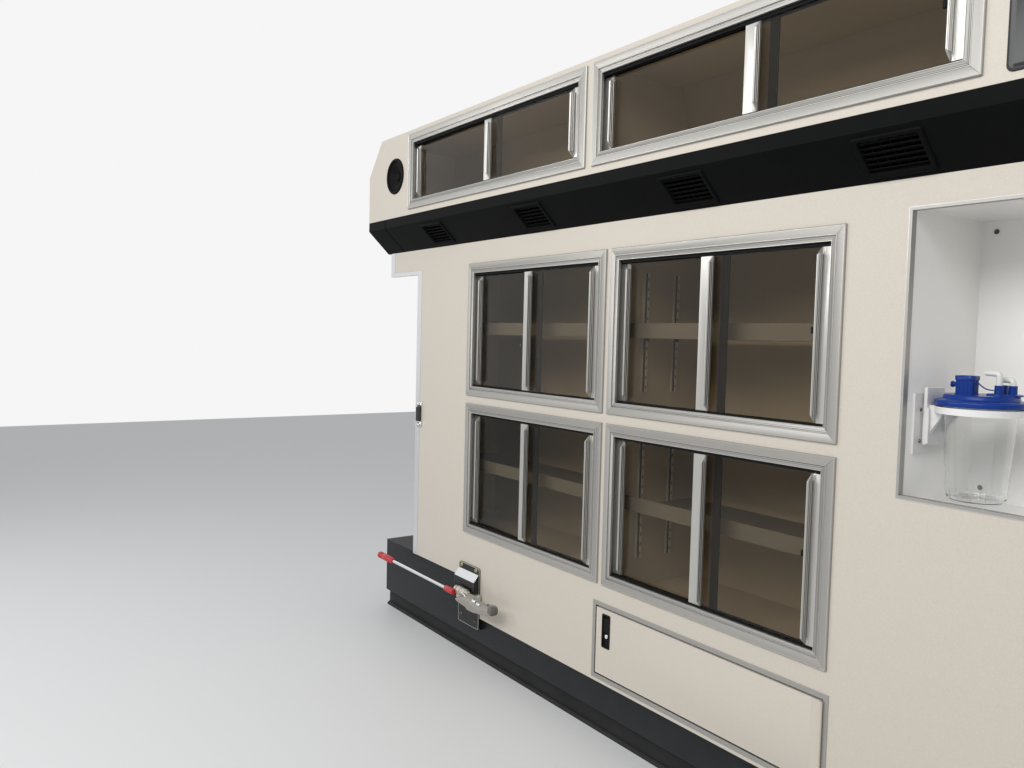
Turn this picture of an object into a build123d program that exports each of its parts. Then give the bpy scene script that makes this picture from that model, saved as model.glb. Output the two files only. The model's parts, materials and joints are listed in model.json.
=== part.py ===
from build123d import *
from math import atan2, degrees
import os

os.makedirs("parts", exist_ok=True)

# Side wall of cabinets from the patient room of an ambulance.
# +X runs forward along the vehicle, +Y goes into the wall, +Z is up, all in millimetres.
# Places along the wall are measured from its rear end, depths from the aisle face of the
# lower panel (positive into the wall), and heights from the floor.

# Whole wall
wall_length = 2750.0
wall_height = 1878.0
wall_depth = 380.0
board = 15.0
back_sheet = 6.0
roof_bend_drop = 378.0
roof_lean = 130.0

# Main heights, from the top down: overhead lockers, air duct, lower panel
overhead_height = 306.0
overhead_reach = 88.0
duct_height = 117.0
duct_fascia = 34.0
duct_sheet = 3.0
duct_back = 120.0
duct_cap_length = 140.0
duct_cap_gap = 4.0
duct_inlet = 84.0
corner_drop_height = 126.0
corner_run = 104.0

# Toe, kick plate and lower panel
toe_height = 65.0
toe_recess = 32.0
toe_wall = 4.0
toe_cove = 12.0
rail_depth = 60.0
kick_sheet = 2.0
kick_lap = 15.0
panel_low_edge = 157.0
panel_step_rise = 120.0
panel_step_x = 700.0
panel_rear_x = 256.0
panel_upper_rear_x = 32.0
notch_strip = 93.0
trim_face = 12.0
trim_upright = 30.0
trim_sheet = 1.5

# Sliding windows: one frame extrusion, cut to two sizes
window_rear_x = 624.0
window_gap_x = 18.0
window_top_margin = 74.0
lower_window_z = 440.0
window_gap_z = 27.0
overhead_window_rear_x = 333.0
overhead_window_gap = 28.0
overhead_window_low_margin = 19.0
overhead_window_top_margin = 16.0
frame_proud = 6.5
frame_band = 21.0
frame_inner_proud = 4.0
frame_lip = 33.0
frame_lip_back = 3.0
frame_wall = 3.0
frame_body = 16.0
frame_back_depth = 29.0
frame_back_wall = 2.0
cutout_inset = 15.0
mitre_kerf = 0.15

# Black double track pressed into the head and the sill of each frame
track_head = 41.0
track_sill = 37.0
track_web = 2.8
track_fit = 0.2
pane_fit = 0.8

# Smoked panes and their full-height pulls
pane = 5.0
outer_pane_depth = 6.0
inner_pane_depth = 19.0
pane_tuck = 11.0
pane_rest = 0.3
pane_lift = 5.0
inner_overlap = 39.0
outer_overlap = 36.0
overhead_meet_shift = 30.0
pull_sheet = 2.0
pull_flat = 35.0
pull_fin = 3.5
pull_reach = 18.0
pull_groove = 0.8
pull_wrap = 10.0
pull_fit = 0.3
pull_end_gap = 1.5
slide_clearance = 5.0

# Vents, speaker and switch panel
vent_width = 144.0
vent_height = 99.0
vent_proud = 4.0
vent_border = 11.0
vent_centres_x = (474.0, 1047.0, 1671.0, 2192.0)
vent_slats = 6
vent_ribs = 2
vent_slat = 2.2
speaker_x = 223.5
speaker_rise = 155.0
speaker_radius = 67.0
speaker_proud = 5.5
speaker_can = 26.0
speaker_cap = 17.0
control_width = 300.0
control_end_gap = 42.0
control_window_gap = 37.0
control_low_margin = 14.0
control_top_margin = 26.0
control_corner = 12.0
control_proud = 3.0
control_thick = 8.0

# Cabinet interiors
niche_width = 435.0
niche_end_gap = 110.0
niche_side_gap = 113.0
window_side_gap = 18.0
locker_floor_z = 150.0
locker_top_z = 398.0
shelf_sheet = 3.0
shelf_lip = 41.0
shelf_front = 60.0
shelf_back_gap = 29.0
shelf_share = 0.466
standard_width = 16.0
standard_thick = 4.0
standard_inset = 58.5
standard_depths = (136.0, 257.0)
standard_slot = 4.0
standard_slots = 3

# Open bay with the suction canister
niche_low_z = 834.0
niche_top_margin = 55.0
niche_back_gap = 98.0
niche_trim = 6.0
niche_sheet = 6.0
niche_well = 29.0
niche_head_gap = 4.0
canister_from_side = 101.0
canister_depth = 108.0
canister_rim_z = 1004.0
canister_height = 179.0
canister_top_radius = 65.0
canister_base_radius = 52.0
canister_wall = 2.0
round_sides = 48
small_sides = 20
ring_radius = 79.0
ring_height = 13.0
ring_fit = 0.6
lid_radius = 81.5
lid_skirt = 12.0
lid_tier_radius = 66.0
lid_tier = 11.0
tower_radius = 19.0
tower_height = 36.0
bracket_z = (920.0, 1040.0)
bracket_depth = (37.0, 157.0)
bracket_sheet = 4.0
gusset_reach = 40.0
gusset_drop = 62.0
gusset_thick = 12.0
gusset_depths = (71.0, 128.0)

# Wide locker door near the floor
door_frame_side_gap = 16.5
door_frame_end_gap = 10.0
door_frame_z = (167.0, 390.0)
door_frame_face = 12.0
door_frame_proud = 2.0
door_frame_return = 18.0
door_frame_sheet = 3.0
door_gap = 5.0
door_thick = 15.0
hinge_knuckle = 4.0
latch_from_side = 58.5
latch_z = 312.5
latch_width = 33.0
latch_height = 96.0
latch_proud = 2.5
latch_body = 14.0

# Cot fastener by the kick plate
clamp_x = (604.0, 736.0)
clamp_z = (116.0, 331.0)
clamp_sheet = 5.0
hood_reach = 26.0
hood_top = 309.0
hood_low = 246.0
hood_bend = 285.0
hood_sheet = 3.0
hood_inset = 3.0
arm_depths = (-78.0, -44.0)
arm_outline = (
    (681, 212), (700, 205), (745, 202), (800, 206), (854, 218), (893, 230), (914, 246), (916, 262),
    (895, 263), (869, 251), (837, 243), (812, 245), (793, 257), (770, 263), (700, 260), (681, 250),
)
arm_boss_x = (645.0, 748.0)
arm_boss_z = (206.0, 243.0)
rod_depth = -60.0
rod_z = 240.0
rod_radius = 6.0
rod_rear_x = 90.0
grip_radius = 11.0
grip_length = 118.0
ferrule_length = 52.0

# Rubber draw latch on the rear edge of the panel
strap_from_edge = 32.0
strap_z = (777.0, 873.0)
strap_width = 28.0
strap_reach = 16.0
strap_bracket = 22.0

# Fixing holes
floor_bolt_hole = 5.5
floor_bolt_rear_x = 300.0
floor_bolt_end_gap = 100.0
wall_bolt_hole = 4.5
wall_bolt_rear_x = 420.0
wall_bolt_end_gap = 150.0
wall_bolt_drops = (55.0, 355.0)

# Worked out from the sizes above
rear_x = -wall_length / 2
pull_front = overhead_reach + pull_sheet + pull_reach - outer_pane_depth
face_y = -(wall_depth - pull_front) / 2
end_x = wall_length - board
back_inner = wall_depth - back_sheet
overhead_bottom = wall_height - overhead_height
duct_fascia_low = overhead_bottom - duct_fascia
panel_top = overhead_bottom - duct_height
panel_rear_low_edge = panel_low_edge + panel_step_rise
notch_height = panel_top - notch_strip
corner_low = wall_height - corner_drop_height
roof_bend_height = wall_height - roof_bend_drop
roof_top_depth = wall_depth - roof_lean
overhead_face_depth = -overhead_reach
overhead_top_z = wall_height - board
roof_slope = roof_lean / roof_bend_drop
corner_slope = corner_drop_height / corner_run
corner_thick = board * (1 + corner_slope**2) ** 0.5
corner_step = corner_thick - board * corner_slope
top_start = corner_run + (corner_thick - board) / corner_slope

niche_x = (wall_length - niche_end_gap - niche_width, wall_length - niche_end_gap)
niche_z = (niche_low_z, panel_top - niche_top_margin)
niche_depth = wall_depth - niche_back_gap - niche_sheet
niche_partition_x = niche_x[0] - niche_side_gap
window_width = (niche_partition_x - window_side_gap - window_rear_x - window_gap_x) / 2
window_height = (panel_top - window_top_margin - lower_window_z - window_gap_z) / 2
front_window_x = window_rear_x + window_width + window_gap_x
upper_window_z = lower_window_z + window_height + window_gap_z
middle_partition_x = front_window_x - (window_gap_x + board) / 2
middle_board_z = upper_window_z - (window_gap_z + board) / 2
control_x = (wall_length - control_end_gap - control_width, wall_length - control_end_gap)
control_z = (overhead_bottom + control_low_margin, wall_height - control_top_margin)
overhead_window_z = overhead_bottom + overhead_window_low_margin
overhead_window_height = wall_height - overhead_window_top_margin - overhead_window_z
overhead_run = control_x[0] - control_window_gap - overhead_window_rear_x
overhead_window_width = (overhead_run - overhead_window_gap) / 2
front_overhead_x = overhead_window_rear_x + overhead_window_width + overhead_window_gap
speaker_z = overhead_bottom + speaker_rise
shelf_back = wall_depth - back_sheet - shelf_back_gap
shelf_levels = [low + shelf_share * window_height for low in (lower_window_z, upper_window_z)]
standard_length = window_height - 2 * standard_inset
standard_levels = [low + standard_inset for low in (lower_window_z, upper_window_z)]
door_frame_x = (middle_partition_x - door_frame_side_gap, niche_partition_x - door_frame_end_gap)
locker_wall_x = door_frame_x[0] - door_frame_face
strap_x = panel_rear_x + strap_from_edge
latch_x = door_frame_x[0] + latch_from_side
canister_x = niche_x[0] + canister_from_side
floor_bolt_x = (floor_bolt_rear_x, wall_length - floor_bolt_end_gap)
wall_bolt_x = (wall_bolt_rear_x, wall_length - wall_bolt_end_gap)
wall_bolt_z = [panel_top - drop for drop in wall_bolt_drops]
inlet_d = (duct_back - duct_sheet - duct_inlet, duct_back - duct_sheet)
inlet_z = (overhead_bottom - duct_sheet - duct_inlet, overhead_bottom - duct_sheet)


def front_plane(depth):
    """Plane seen from the aisle: x from the rear end, y up, extruding towards the aisle."""
    return Plane(origin=(rear_x, face_y + depth, 0), x_dir=(1, 0, 0), z_dir=(0, -1, 0))


def side_plane(along):
    """Plane across the wall: x is the depth, y is up, extruding forward."""
    return Plane(origin=(rear_x + along, face_y, 0), x_dir=(0, 1, 0), z_dir=(1, 0, 0))


def floor_plane(height):
    """Level plane: x from the rear end, y is the depth, extruding upwards."""
    return Plane(origin=(rear_x, face_y, height), x_dir=(1, 0, 0), z_dir=(0, 0, 1))


def slab(along, depth, height):
    """Flat board between three pairs of limits, added to the part being built."""
    with Locations((rear_x + sum(along) / 2, face_y + sum(depth) / 2, sum(height) / 2)):
        Box(along[1] - along[0], depth[1] - depth[0], height[1] - height[0])


def block(along, height, mode=Mode.ADD):
    """Rectangle between two pairs of limits, added to a sketch on a front plane."""
    with Locations((sum(along) / 2, sum(height) / 2)):
        Rectangle(along[1] - along[0], height[1] - height[0], mode=mode)


def outline(points):
    """Filled outline through the given corners, added to the sketch being drawn."""
    Polygon(*points, align=None)


def tapered(plane, centre, radius, rise, angle=0.0, sides=round_sides):
    """Many-sided solid standing on a plane, with flat sides that lean in by an angle."""
    with BuildPart() as solid:
        with BuildSketch(plane):
            with Locations(centre):
                RegularPolygon(radius, sides)
        extrude(amount=rise)
        if angle:
            sides_only = [face for face in solid.faces() if abs(face.normal_at().dot(plane.z_dir)) < 0.5]
            draft(sides_only, plane, angle)
    return solid.part


def roof_inner(height):
    """Depth of the back sheet's inner side at a height."""
    lean = max(0.0, height - roof_bend_height) * roof_slope
    return back_inner - lean - 0.3


def save(builder, name):
    """Name the piece and write it to its own file."""
    builder.part.label = name
    export_step(builder.part, "parts/" + name + ".step")


# Base rails on the floor, with the holes for the floor bolts
rail_front = toe_recess + toe_wall
rail_limits = ((rail_front, rail_front + rail_depth), (back_inner - rail_depth, back_inner))
rail_centres = [sum(limits) / 2 for limits in rail_limits]

with BuildPart() as base_rails:
    for limits in rail_limits:
        slab((0, end_x), limits, (0, toe_height))
    with BuildSketch(floor_plane(0)):
        with Locations(*[(x, depth) for x in floor_bolt_x for depth in rail_centres]):
            Circle(floor_bolt_hole)
    extrude(amount=toe_height, mode=Mode.SUBTRACT)
save(base_rails, "base_rails")

# Vinyl toe recess with a coved foot
with BuildPart() as toe_skirting:
    with BuildSketch(side_plane(0)):
        with BuildLine():
            Polyline(
                (toe_recess, toe_cove),
                (toe_recess, toe_height),
                (toe_recess + toe_wall, toe_height),
                (toe_recess + toe_wall, 0),
                (toe_recess - toe_cove, 0),
            )
            RadiusArc((toe_recess - toe_cove, 0), (toe_recess, toe_cove), toe_cove)
        make_face()
    extrude(amount=end_x)
save(toe_skirting, "toe_skirting")

# Dark steel kick plate, taller at the rear where it faces the wheel box
kick_front = board
kick_back = board + kick_sheet
with BuildPart() as kick_plate:
    with BuildSketch(front_plane(kick_back)):
        outline([
            (0, toe_height),
            (end_x, toe_height),
            (end_x, panel_low_edge + kick_lap),
            (panel_step_x + kick_lap, panel_low_edge + kick_lap),
            (panel_step_x + kick_lap, panel_rear_low_edge + kick_lap),
            (panel_rear_x, panel_rear_low_edge + kick_lap),
            (panel_rear_x, panel_rear_low_edge),
            (0, panel_rear_low_edge),
        ])
    extrude(amount=kick_sheet)
save(kick_plate, "kick_plate")

# Wheel box that runs on past the rear edge of the panel, open inside
with BuildPart() as wheel_box:
    with BuildSketch(front_plane(back_inner)):
        outline([
            (0, toe_height),
            (0, panel_rear_low_edge),
            (panel_rear_x, panel_rear_low_edge),
            (panel_rear_x, panel_rear_low_edge - board),
            (board, panel_rear_low_edge - board),
            (board, toe_height),
        ])
    extrude(amount=back_inner - kick_back)
save(wheel_box, "wheel_box")

# Level boards: five in the lower cabinets, floor and top of the overhead lockers
inner_rear_x = panel_rear_x + board
inner_face_depth = overhead_face_depth + board
overhead_floor_z = overhead_bottom + board
with BuildPart() as level_boards:
    slab((inner_rear_x, end_x), (kick_back, back_inner), (locker_floor_z, locker_floor_z + board))
    slab((inner_rear_x, end_x), (board, back_inner), (locker_top_z, locker_top_z + board))
    slab((inner_rear_x, niche_partition_x), (board, back_inner), (middle_board_z, middle_board_z + board))
    slab((inner_rear_x, end_x), (board, back_inner), (panel_top - board, panel_top))
    slab((inner_rear_x, end_x), (kick_back, back_inner), (toe_height, toe_height + board))
    overhead_depths = (inner_face_depth, roof_inner(overhead_floor_z))
    slab((board, end_x), overhead_depths, (overhead_bottom, overhead_floor_z))
    slab((top_start, end_x), (inner_face_depth, roof_inner(wall_height)), (overhead_top_z, wall_height))
    with BuildSketch(floor_plane(0)):
        with Locations(*[(x, depth) for x in floor_bolt_x for depth in rail_centres]):
            Circle(floor_bolt_hole)
    extrude(amount=locker_floor_z - board, mode=Mode.SUBTRACT)
save(level_boards, "level_boards")

# Upright boards, in the bays that the level boards leave
# rows: place along the wall, front, lower end, upper end
kick_top = panel_low_edge + kick_lap
rear_kick_top = panel_rear_low_edge + kick_lap
upright_rows = (
    (panel_rear_x, kick_back, toe_height, rear_kick_top),
    (panel_rear_x, board, rear_kick_top, panel_top),
    (locker_wall_x, kick_back, locker_floor_z + board, kick_top),
    (locker_wall_x, board, kick_top, locker_top_z),
    (middle_partition_x, board, locker_top_z + board, middle_board_z),
    (middle_partition_x, board, middle_board_z + board, panel_top - board),
    (niche_partition_x, kick_back, locker_floor_z + board, kick_top),
    (niche_partition_x, board, kick_top, locker_top_z),
    (niche_partition_x, board, locker_top_z + board, panel_top - board),
)
overhead_divider_x = overhead_window_rear_x + overhead_window_width + overhead_window_gap / 2
with BuildPart() as upright_boards:
    for along, front, low, high in upright_rows:
        slab((along, along + board), (front, back_inner), (low, high))
    for along in (overhead_divider_x, control_x[0] - board * 1.2):
        with BuildSketch(side_plane(along - board / 2)):
            outline([
                (inner_face_depth, overhead_floor_z),
                (roof_inner(overhead_floor_z), overhead_floor_z),
                (roof_inner(overhead_top_z), overhead_top_z),
                (inner_face_depth, overhead_top_z),
            ])
        extrude(amount=board)
    with BuildSketch(front_plane(roof_inner(wall_height))):
        outline([
            (0, overhead_bottom),
            (0, corner_low),
            (board, corner_low - corner_step),
            (board, overhead_bottom),
        ])
        outline([
            (mitre_kerf, corner_low + mitre_kerf),
            (corner_run, wall_height),
            (top_start, wall_height),
            (top_start, overhead_top_z),
            (board + mitre_kerf, corner_low - corner_step + mitre_kerf),
        ])
    extrude(amount=roof_inner(wall_height) - inner_face_depth)
save(upright_boards, "upright_boards")

# Forward end board, full height, cut to the section of the whole wall, with the duct's air inlet
with BuildPart() as end_board:
    with BuildSketch(side_plane(end_x)):
        outline([
            (toe_recess, 0),
            (wall_depth, 0),
            (wall_depth, roof_bend_height),
            (roof_top_depth, wall_height),
            (overhead_face_depth, wall_height),
            (overhead_face_depth, duct_fascia_low),
            (0, panel_top),
            (0, panel_low_edge),
            (kick_front, panel_low_edge),
            (kick_front, toe_height),
            (toe_recess, toe_height),
        ])
        block(inlet_d, inlet_z, mode=Mode.SUBTRACT)
    extrude(amount=board)
save(end_board, "end_board")

# Back sheet, upright behind the cabinets and leaning in under the roof
with BuildPart() as back_panel:
    with BuildSketch(side_plane(0)):
        outline([
            (back_inner, toe_height),
            (wall_depth, toe_height),
            (wall_depth, roof_bend_height),
            (roof_top_depth, wall_height),
            (roof_top_depth - back_sheet, wall_height),
            (back_inner, roof_bend_height),
        ])
    extrude(amount=end_x)
    with BuildSketch(front_plane(wall_depth)):
        block((0, panel_rear_x), (panel_rear_low_edge, overhead_bottom))
    extrude(amount=wall_depth, mode=Mode.SUBTRACT)
    with BuildSketch(front_plane(wall_depth)):
        outline([(0, corner_low), (0, wall_height), (corner_run, wall_height)])
    extrude(amount=wall_depth, mode=Mode.SUBTRACT)
    with BuildSketch(front_plane(wall_depth)):
        with Locations(*[(x, z) for x in wall_bolt_x for z in wall_bolt_z]):
            Circle(wall_bolt_hole)
    extrude(amount=back_sheet, mode=Mode.SUBTRACT)
save(back_panel, "back_panel")

# Lower aisle panel with its window, bay and door cut-outs
window_places = (
    ("lower_rear", window_rear_x, lower_window_z),
    ("lower_front", front_window_x, lower_window_z),
    ("upper_rear", window_rear_x, upper_window_z),
    ("upper_front", front_window_x, upper_window_z),
)
overhead_places = (
    ("overhead_rear", overhead_window_rear_x, overhead_window_z),
    ("overhead_front", front_overhead_x, overhead_window_z),
)
niche_open_x = (niche_x[0] + niche_trim, niche_x[1] - niche_trim)
niche_open_z = (niche_z[0] + niche_trim, niche_z[1] - niche_trim)
door_cut_inset = door_frame_face - door_frame_sheet
door_cut_x = (door_frame_x[0] + door_cut_inset, door_frame_x[1] - door_cut_inset)
door_cut_z = (door_frame_z[0] + door_cut_inset, door_frame_z[1] - door_cut_inset)

with BuildPart() as face_panel:
    with BuildSketch(front_plane(board)):
        outline([
            (panel_upper_rear_x, panel_top),
            (end_x, panel_top),
            (end_x, panel_low_edge),
            (panel_step_x, panel_low_edge),
            (panel_step_x, panel_rear_low_edge),
            (panel_rear_x, panel_rear_low_edge),
            (panel_rear_x, notch_height),
            (panel_upper_rear_x, notch_height),
        ])
        for _, along, low in window_places:
            block(
                (along + cutout_inset, along + window_width - cutout_inset),
                (low + cutout_inset, low + window_height - cutout_inset),
                mode=Mode.SUBTRACT,
            )
        block(niche_open_x, niche_open_z, mode=Mode.SUBTRACT)
        block(door_cut_x, door_cut_z, mode=Mode.SUBTRACT)
    extrude(amount=board)
save(face_panel, "face_panel")

# Bright trims: along the rear edge of the lower panel and round the mouth of the open bay
with BuildPart() as edge_trims:
    with BuildSketch(front_plane(0)):
        outline([
            (panel_upper_rear_x, panel_top),
            (panel_upper_rear_x, notch_height),
            (panel_rear_x, notch_height),
            (panel_rear_x, panel_rear_low_edge),
            (panel_rear_x + trim_upright, panel_rear_low_edge),
            (panel_rear_x + trim_upright, notch_height + trim_face),
            (panel_upper_rear_x + trim_upright, notch_height + trim_face),
            (panel_upper_rear_x + trim_upright, panel_top),
        ])
    extrude(amount=trim_sheet)
    with BuildSketch(front_plane(board)):
        outline([
            (panel_upper_rear_x - trim_sheet, panel_top),
            (panel_upper_rear_x - trim_sheet, notch_height - trim_sheet),
            (panel_rear_x - trim_sheet, notch_height - trim_sheet),
            (panel_rear_x - trim_sheet, panel_rear_low_edge),
            (panel_rear_x, panel_rear_low_edge),
            (panel_rear_x, notch_height),
            (panel_upper_rear_x, notch_height),
            (panel_upper_rear_x, panel_top),
        ])
    extrude(amount=board + trim_sheet)
    with BuildSketch(front_plane(0)):
        block(niche_x, niche_z)
        block(niche_open_x, niche_open_z, mode=Mode.SUBTRACT)
    extrude(amount=trim_sheet)
save(edge_trims, "edge_trims")


# Window frame section: u runs inwards from the outer edge, v is the depth behind the panel face
frame_section = (
    (0, 0),
    (0, -frame_proud + 1.5),
    (1.5, -frame_proud),
    (frame_band, -frame_proud),
    (frame_band, -frame_inner_proud),
    (frame_lip, -frame_inner_proud),
    (frame_lip, frame_lip_back),
    (frame_body + frame_wall, frame_lip_back),
    (frame_body + frame_wall, frame_back_depth - frame_back_wall),
    (frame_lip, frame_back_depth - frame_back_wall),
    (frame_lip, frame_back_depth),
    (frame_body, frame_back_depth),
    (frame_body, 0),
)


def frame_bars(width, height, along, low, face):
    """Four mitred bars of one window frame, with its rear low corner at (along, low)."""
    bars = []
    reach = frame_lip + 2
    through = frame_proud + frame_back_depth + 1
    for end, sign in ((0, 1), (1, -1)):
        level = low + end * height
        with BuildPart() as rail:
            with BuildSketch(side_plane(along)):
                outline([(face + v, level + sign * u) for u, v in frame_section])
            extrude(amount=width)
            with BuildSketch(front_plane(face + frame_back_depth)):
                for x, turn in ((along, 1), (along + width, -1)):
                    outline([
                        (x - turn * mitre_kerf, level - sign * mitre_kerf * 2),
                        (x + turn * (mitre_kerf + reach), level + sign * reach),
                        (x - turn * mitre_kerf, level + sign * reach),
                    ])
            extrude(amount=through, mode=Mode.SUBTRACT)
        bars.append(rail.part)
        x = along + end * width
        with BuildPart() as stile:
            with BuildSketch(floor_plane(low)):
                outline([(x + sign * u, face + v) for u, v in frame_section])
            extrude(amount=height)
            with BuildSketch(front_plane(face + frame_back_depth)):
                for z, turn in ((low, 1), (low + height, -1)):
                    outline([
                        (x - sign * mitre_kerf * 2, z - turn * mitre_kerf),
                        (x + sign * reach, z + turn * (mitre_kerf + reach)),
                        (x + sign * reach, z - turn * mitre_kerf),
                    ])
            extrude(amount=through, mode=Mode.SUBTRACT)
        bars.append(stile.part)
    return bars


frame_parts = []
for _, along, low in window_places:
    frame_parts += frame_bars(window_width, window_height, along, low, 0)
for _, along, low in overhead_places:
    frame_parts += frame_bars(overhead_window_width, overhead_window_height, along, low, overhead_face_depth)
with BuildPart() as window_frames:
    add(frame_parts)
save(window_frames, "window_frames")


def track_bar(width, along, level, sign, reach, face):
    """Black double track in the head (sign -1) or the sill (sign 1) of a frame."""
    first = frame_body + frame_wall + track_fit
    near = face + frame_lip_back + track_fit
    far = face + frame_back_depth - frame_back_wall - track_fit
    slot_start = level + sign * (first + track_web)
    with BuildPart() as bar:
        with BuildSketch(side_plane(along + frame_lip + track_fit)):
            block((near, far), sorted((level + sign * first, level + sign * reach)))
            for pane_depth in (outer_pane_depth, inner_pane_depth):
                block(
                    (face + pane_depth - pane_fit, face + pane_depth + pane + pane_fit),
                    sorted((slot_start, level + sign * (reach + 1))),
                    mode=Mode.SUBTRACT,
                )
        extrude(amount=width - 2 * (frame_lip + track_fit))
    return bar.part


track_parts = []
for _, along, low in window_places:
    track_parts.append(track_bar(window_width, along, low, 1, track_sill, 0))
    track_parts.append(track_bar(window_width, along, low + window_height, -1, track_head, 0))
for _, along, low in overhead_places:
    top = low + overhead_window_height
    track_parts.append(track_bar(overhead_window_width, along, low, 1, track_sill, overhead_face_depth))
    track_parts.append(track_bar(overhead_window_width, along, top, -1, track_head, overhead_face_depth))
with BuildPart() as window_tracks:
    add(track_parts)
save(window_tracks, "window_tracks")


def pull_bar(edge, turn, front, low, high):
    """Pull on a pane's upright edge: turn is 1 on a rear edge and -1 on a forward edge."""
    fin_near = pull_flat
    fin_far = pull_flat + pull_fin
    wrap = pane + pull_fit
    section = [(-pull_fit - pull_sheet, -pull_sheet), (fin_near, -pull_sheet)]
    tip = -pull_sheet - pull_reach
    section += [(fin_near, tip + 1), (fin_near + 1, tip), (fin_far - 1, tip), (fin_far, tip + 1)]
    for step in (0.35, 0.55, 0.75):
        level = -pull_sheet - pull_reach * (1 - step)
        section += [(fin_far, level - 1), (fin_far - pull_groove, level), (fin_far, level + 1)]
    section += [(fin_far, 0), (-pull_fit, 0)]
    section += [(-pull_fit, wrap), (pull_wrap, wrap), (pull_wrap, wrap + pull_sheet)]
    section += [(-pull_fit - pull_sheet, wrap + pull_sheet)]
    with BuildPart() as bar:
        with BuildSketch(floor_plane(low)):
            outline([(edge + turn * s, front + v) for s, v in section])
        extrude(amount=high - low)
        with BuildSketch(side_plane(edge - wall_depth)):
            for level, sign in ((low, 1), (high, -1)):
                outline([
                    (front - pull_sheet, level - sign),
                    (front - pull_sheet, level),
                    (front - pull_sheet - pull_reach - 1, level + sign * (pull_reach + 1)),
                    (front - pull_sheet - pull_reach - 1, level - sign),
                ])
        extrude(amount=2 * wall_depth, mode=Mode.SUBTRACT)
    return bar.part


def window_panes(name, width, height, along, low, face, meet_shift):
    """Two sliding panes with their pulls, and how far each can slide."""
    centre = along + width / 2 + meet_shift
    seat = frame_body + frame_wall + track_fit + track_web
    pane_z = (low + seat + pane_rest, low + height - seat - pane_lift)
    pull_z = (low + track_sill + pull_end_gap, low + height - track_head - pull_end_gap)
    inner_x = (along + frame_lip - pane_tuck, centre + inner_overlap)
    outer_x = (centre - outer_overlap, along + width - frame_lip + pane_tuck)
    for kind, limits, depth in (
        ("inner", inner_x, face + inner_pane_depth),
        ("outer", outer_x, face + outer_pane_depth),
    ):
        with BuildPart() as glazing:
            with BuildSketch(front_plane(depth + pane)):
                block(limits, pane_z)
            extrude(amount=pane)
        save(glazing, name + "_" + kind + "_pane")
        edges = ((limits[0], 1), (limits[1], -1))[: 2 if kind == "outer" else 1]
        bars = [pull_bar(edge, turn, depth, *pull_z) for edge, turn in edges]
        with BuildPart() as pulls:
            add(bars)
        save(pulls, name + "_" + kind + "_pull")
    pull_end = pull_flat + pull_fin
    to_pull = outer_x[0] - pull_fit - pull_sheet - (inner_x[0] + pull_end) - slide_clearance
    to_jamb = along + width - frame_body - frame_wall - pane_rest - inner_x[1]
    print(name, "slide travel", round(min(to_pull, to_jamb), 1))


for name, along, low in window_places:
    window_panes(name, window_width, window_height, along, low, 0, 0)
for name, along, low in overhead_places:
    size = (overhead_window_width, overhead_window_height)
    window_panes(name, *size, along, low, overhead_face_depth, overhead_meet_shift)

# Loose shelves with a raised front lip
bay_limits = (
    (inner_rear_x, middle_partition_x),
    (middle_partition_x + board, niche_partition_x),
)
with BuildPart() as shelves:
    for low in shelf_levels:
        for bay in bay_limits:
            with BuildSketch(side_plane(bay[0] + standard_thick)):
                outline([
                    (shelf_front, low),
                    (shelf_back, low),
                    (shelf_back, low + shelf_sheet),
                    (shelf_front + shelf_sheet, low + shelf_sheet),
                    (shelf_front + shelf_sheet, low + shelf_lip),
                    (shelf_front, low + shelf_lip),
                ])
            extrude(amount=bay[1] - bay[0] - 2 * standard_thick)
save(shelves, "shelves")

# Slotted uprights on both sides of each bay
slot_pitch = standard_length / (standard_slots + 1)
with BuildPart() as shelf_standards:
    for low in standard_levels:
        for bay in bay_limits:
            for x in (bay[0], bay[1] - standard_thick):
                for depth in standard_depths:
                    slab(
                        (x, x + standard_thick),
                        (depth - standard_width / 2, depth + standard_width / 2),
                        (low, low + standard_length),
                    )
    for low in standard_levels:
        with BuildSketch(side_plane(0)):
            for depth in standard_depths:
                for step in range(standard_slots):
                    with Locations((depth, low + slot_pitch * (step + 1))):
                        Rectangle(standard_slot, standard_slot * 2.5)
        extrude(amount=wall_length, mode=Mode.SUBTRACT)
save(shelf_standards, "shelf_standards")

# Lining of the open bay, with a well below its front lip
well_z = (niche_open_z[0] - niche_well, niche_open_z[1] + niche_head_gap)
with BuildPart() as niche_liner:
    with BuildSketch(front_plane(niche_depth + niche_sheet)):
        block(
            (niche_open_x[0] - niche_sheet, niche_open_x[1] + niche_sheet),
            (well_z[0] - niche_sheet, well_z[1] + niche_sheet),
        )
    extrude(amount=niche_depth + niche_sheet - board)
    with BuildSketch(front_plane(niche_depth)):
        block(niche_open_x, well_z)
    extrude(amount=niche_depth, mode=Mode.SUBTRACT)
save(niche_liner, "niche_liner")

# Bracket of the suction canister: back plate, two gussets and a carrying ring
bracket_x = niche_open_x[0] + bracket_sheet
ring_z = (canister_rim_z, canister_rim_z + ring_height)
with BuildPart() as canister_bracket:
    slab((niche_open_x[0], bracket_x), bracket_depth, bracket_z)
    for depth in gusset_depths:
        with BuildSketch(front_plane(depth + gusset_thick)):
            outline([
                (bracket_x, ring_z[0] - gusset_drop),
                (bracket_x, ring_z[1]),
                (bracket_x + gusset_reach, ring_z[1]),
                (bracket_x + gusset_reach, ring_z[0]),
            ])
        extrude(amount=gusset_thick)
    with BuildSketch(floor_plane(ring_z[0])):
        with Locations((canister_x, canister_depth)):
            RegularPolygon(ring_radius, round_sides)
    extrude(amount=ring_height)
    with BuildSketch(floor_plane(ring_z[0] - gusset_drop)):
        with Locations((canister_x, canister_depth)):
            RegularPolygon(canister_top_radius + ring_fit, round_sides)
    extrude(amount=gusset_drop + ring_height, mode=Mode.SUBTRACT)
save(canister_bracket, "canister_bracket")

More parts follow.
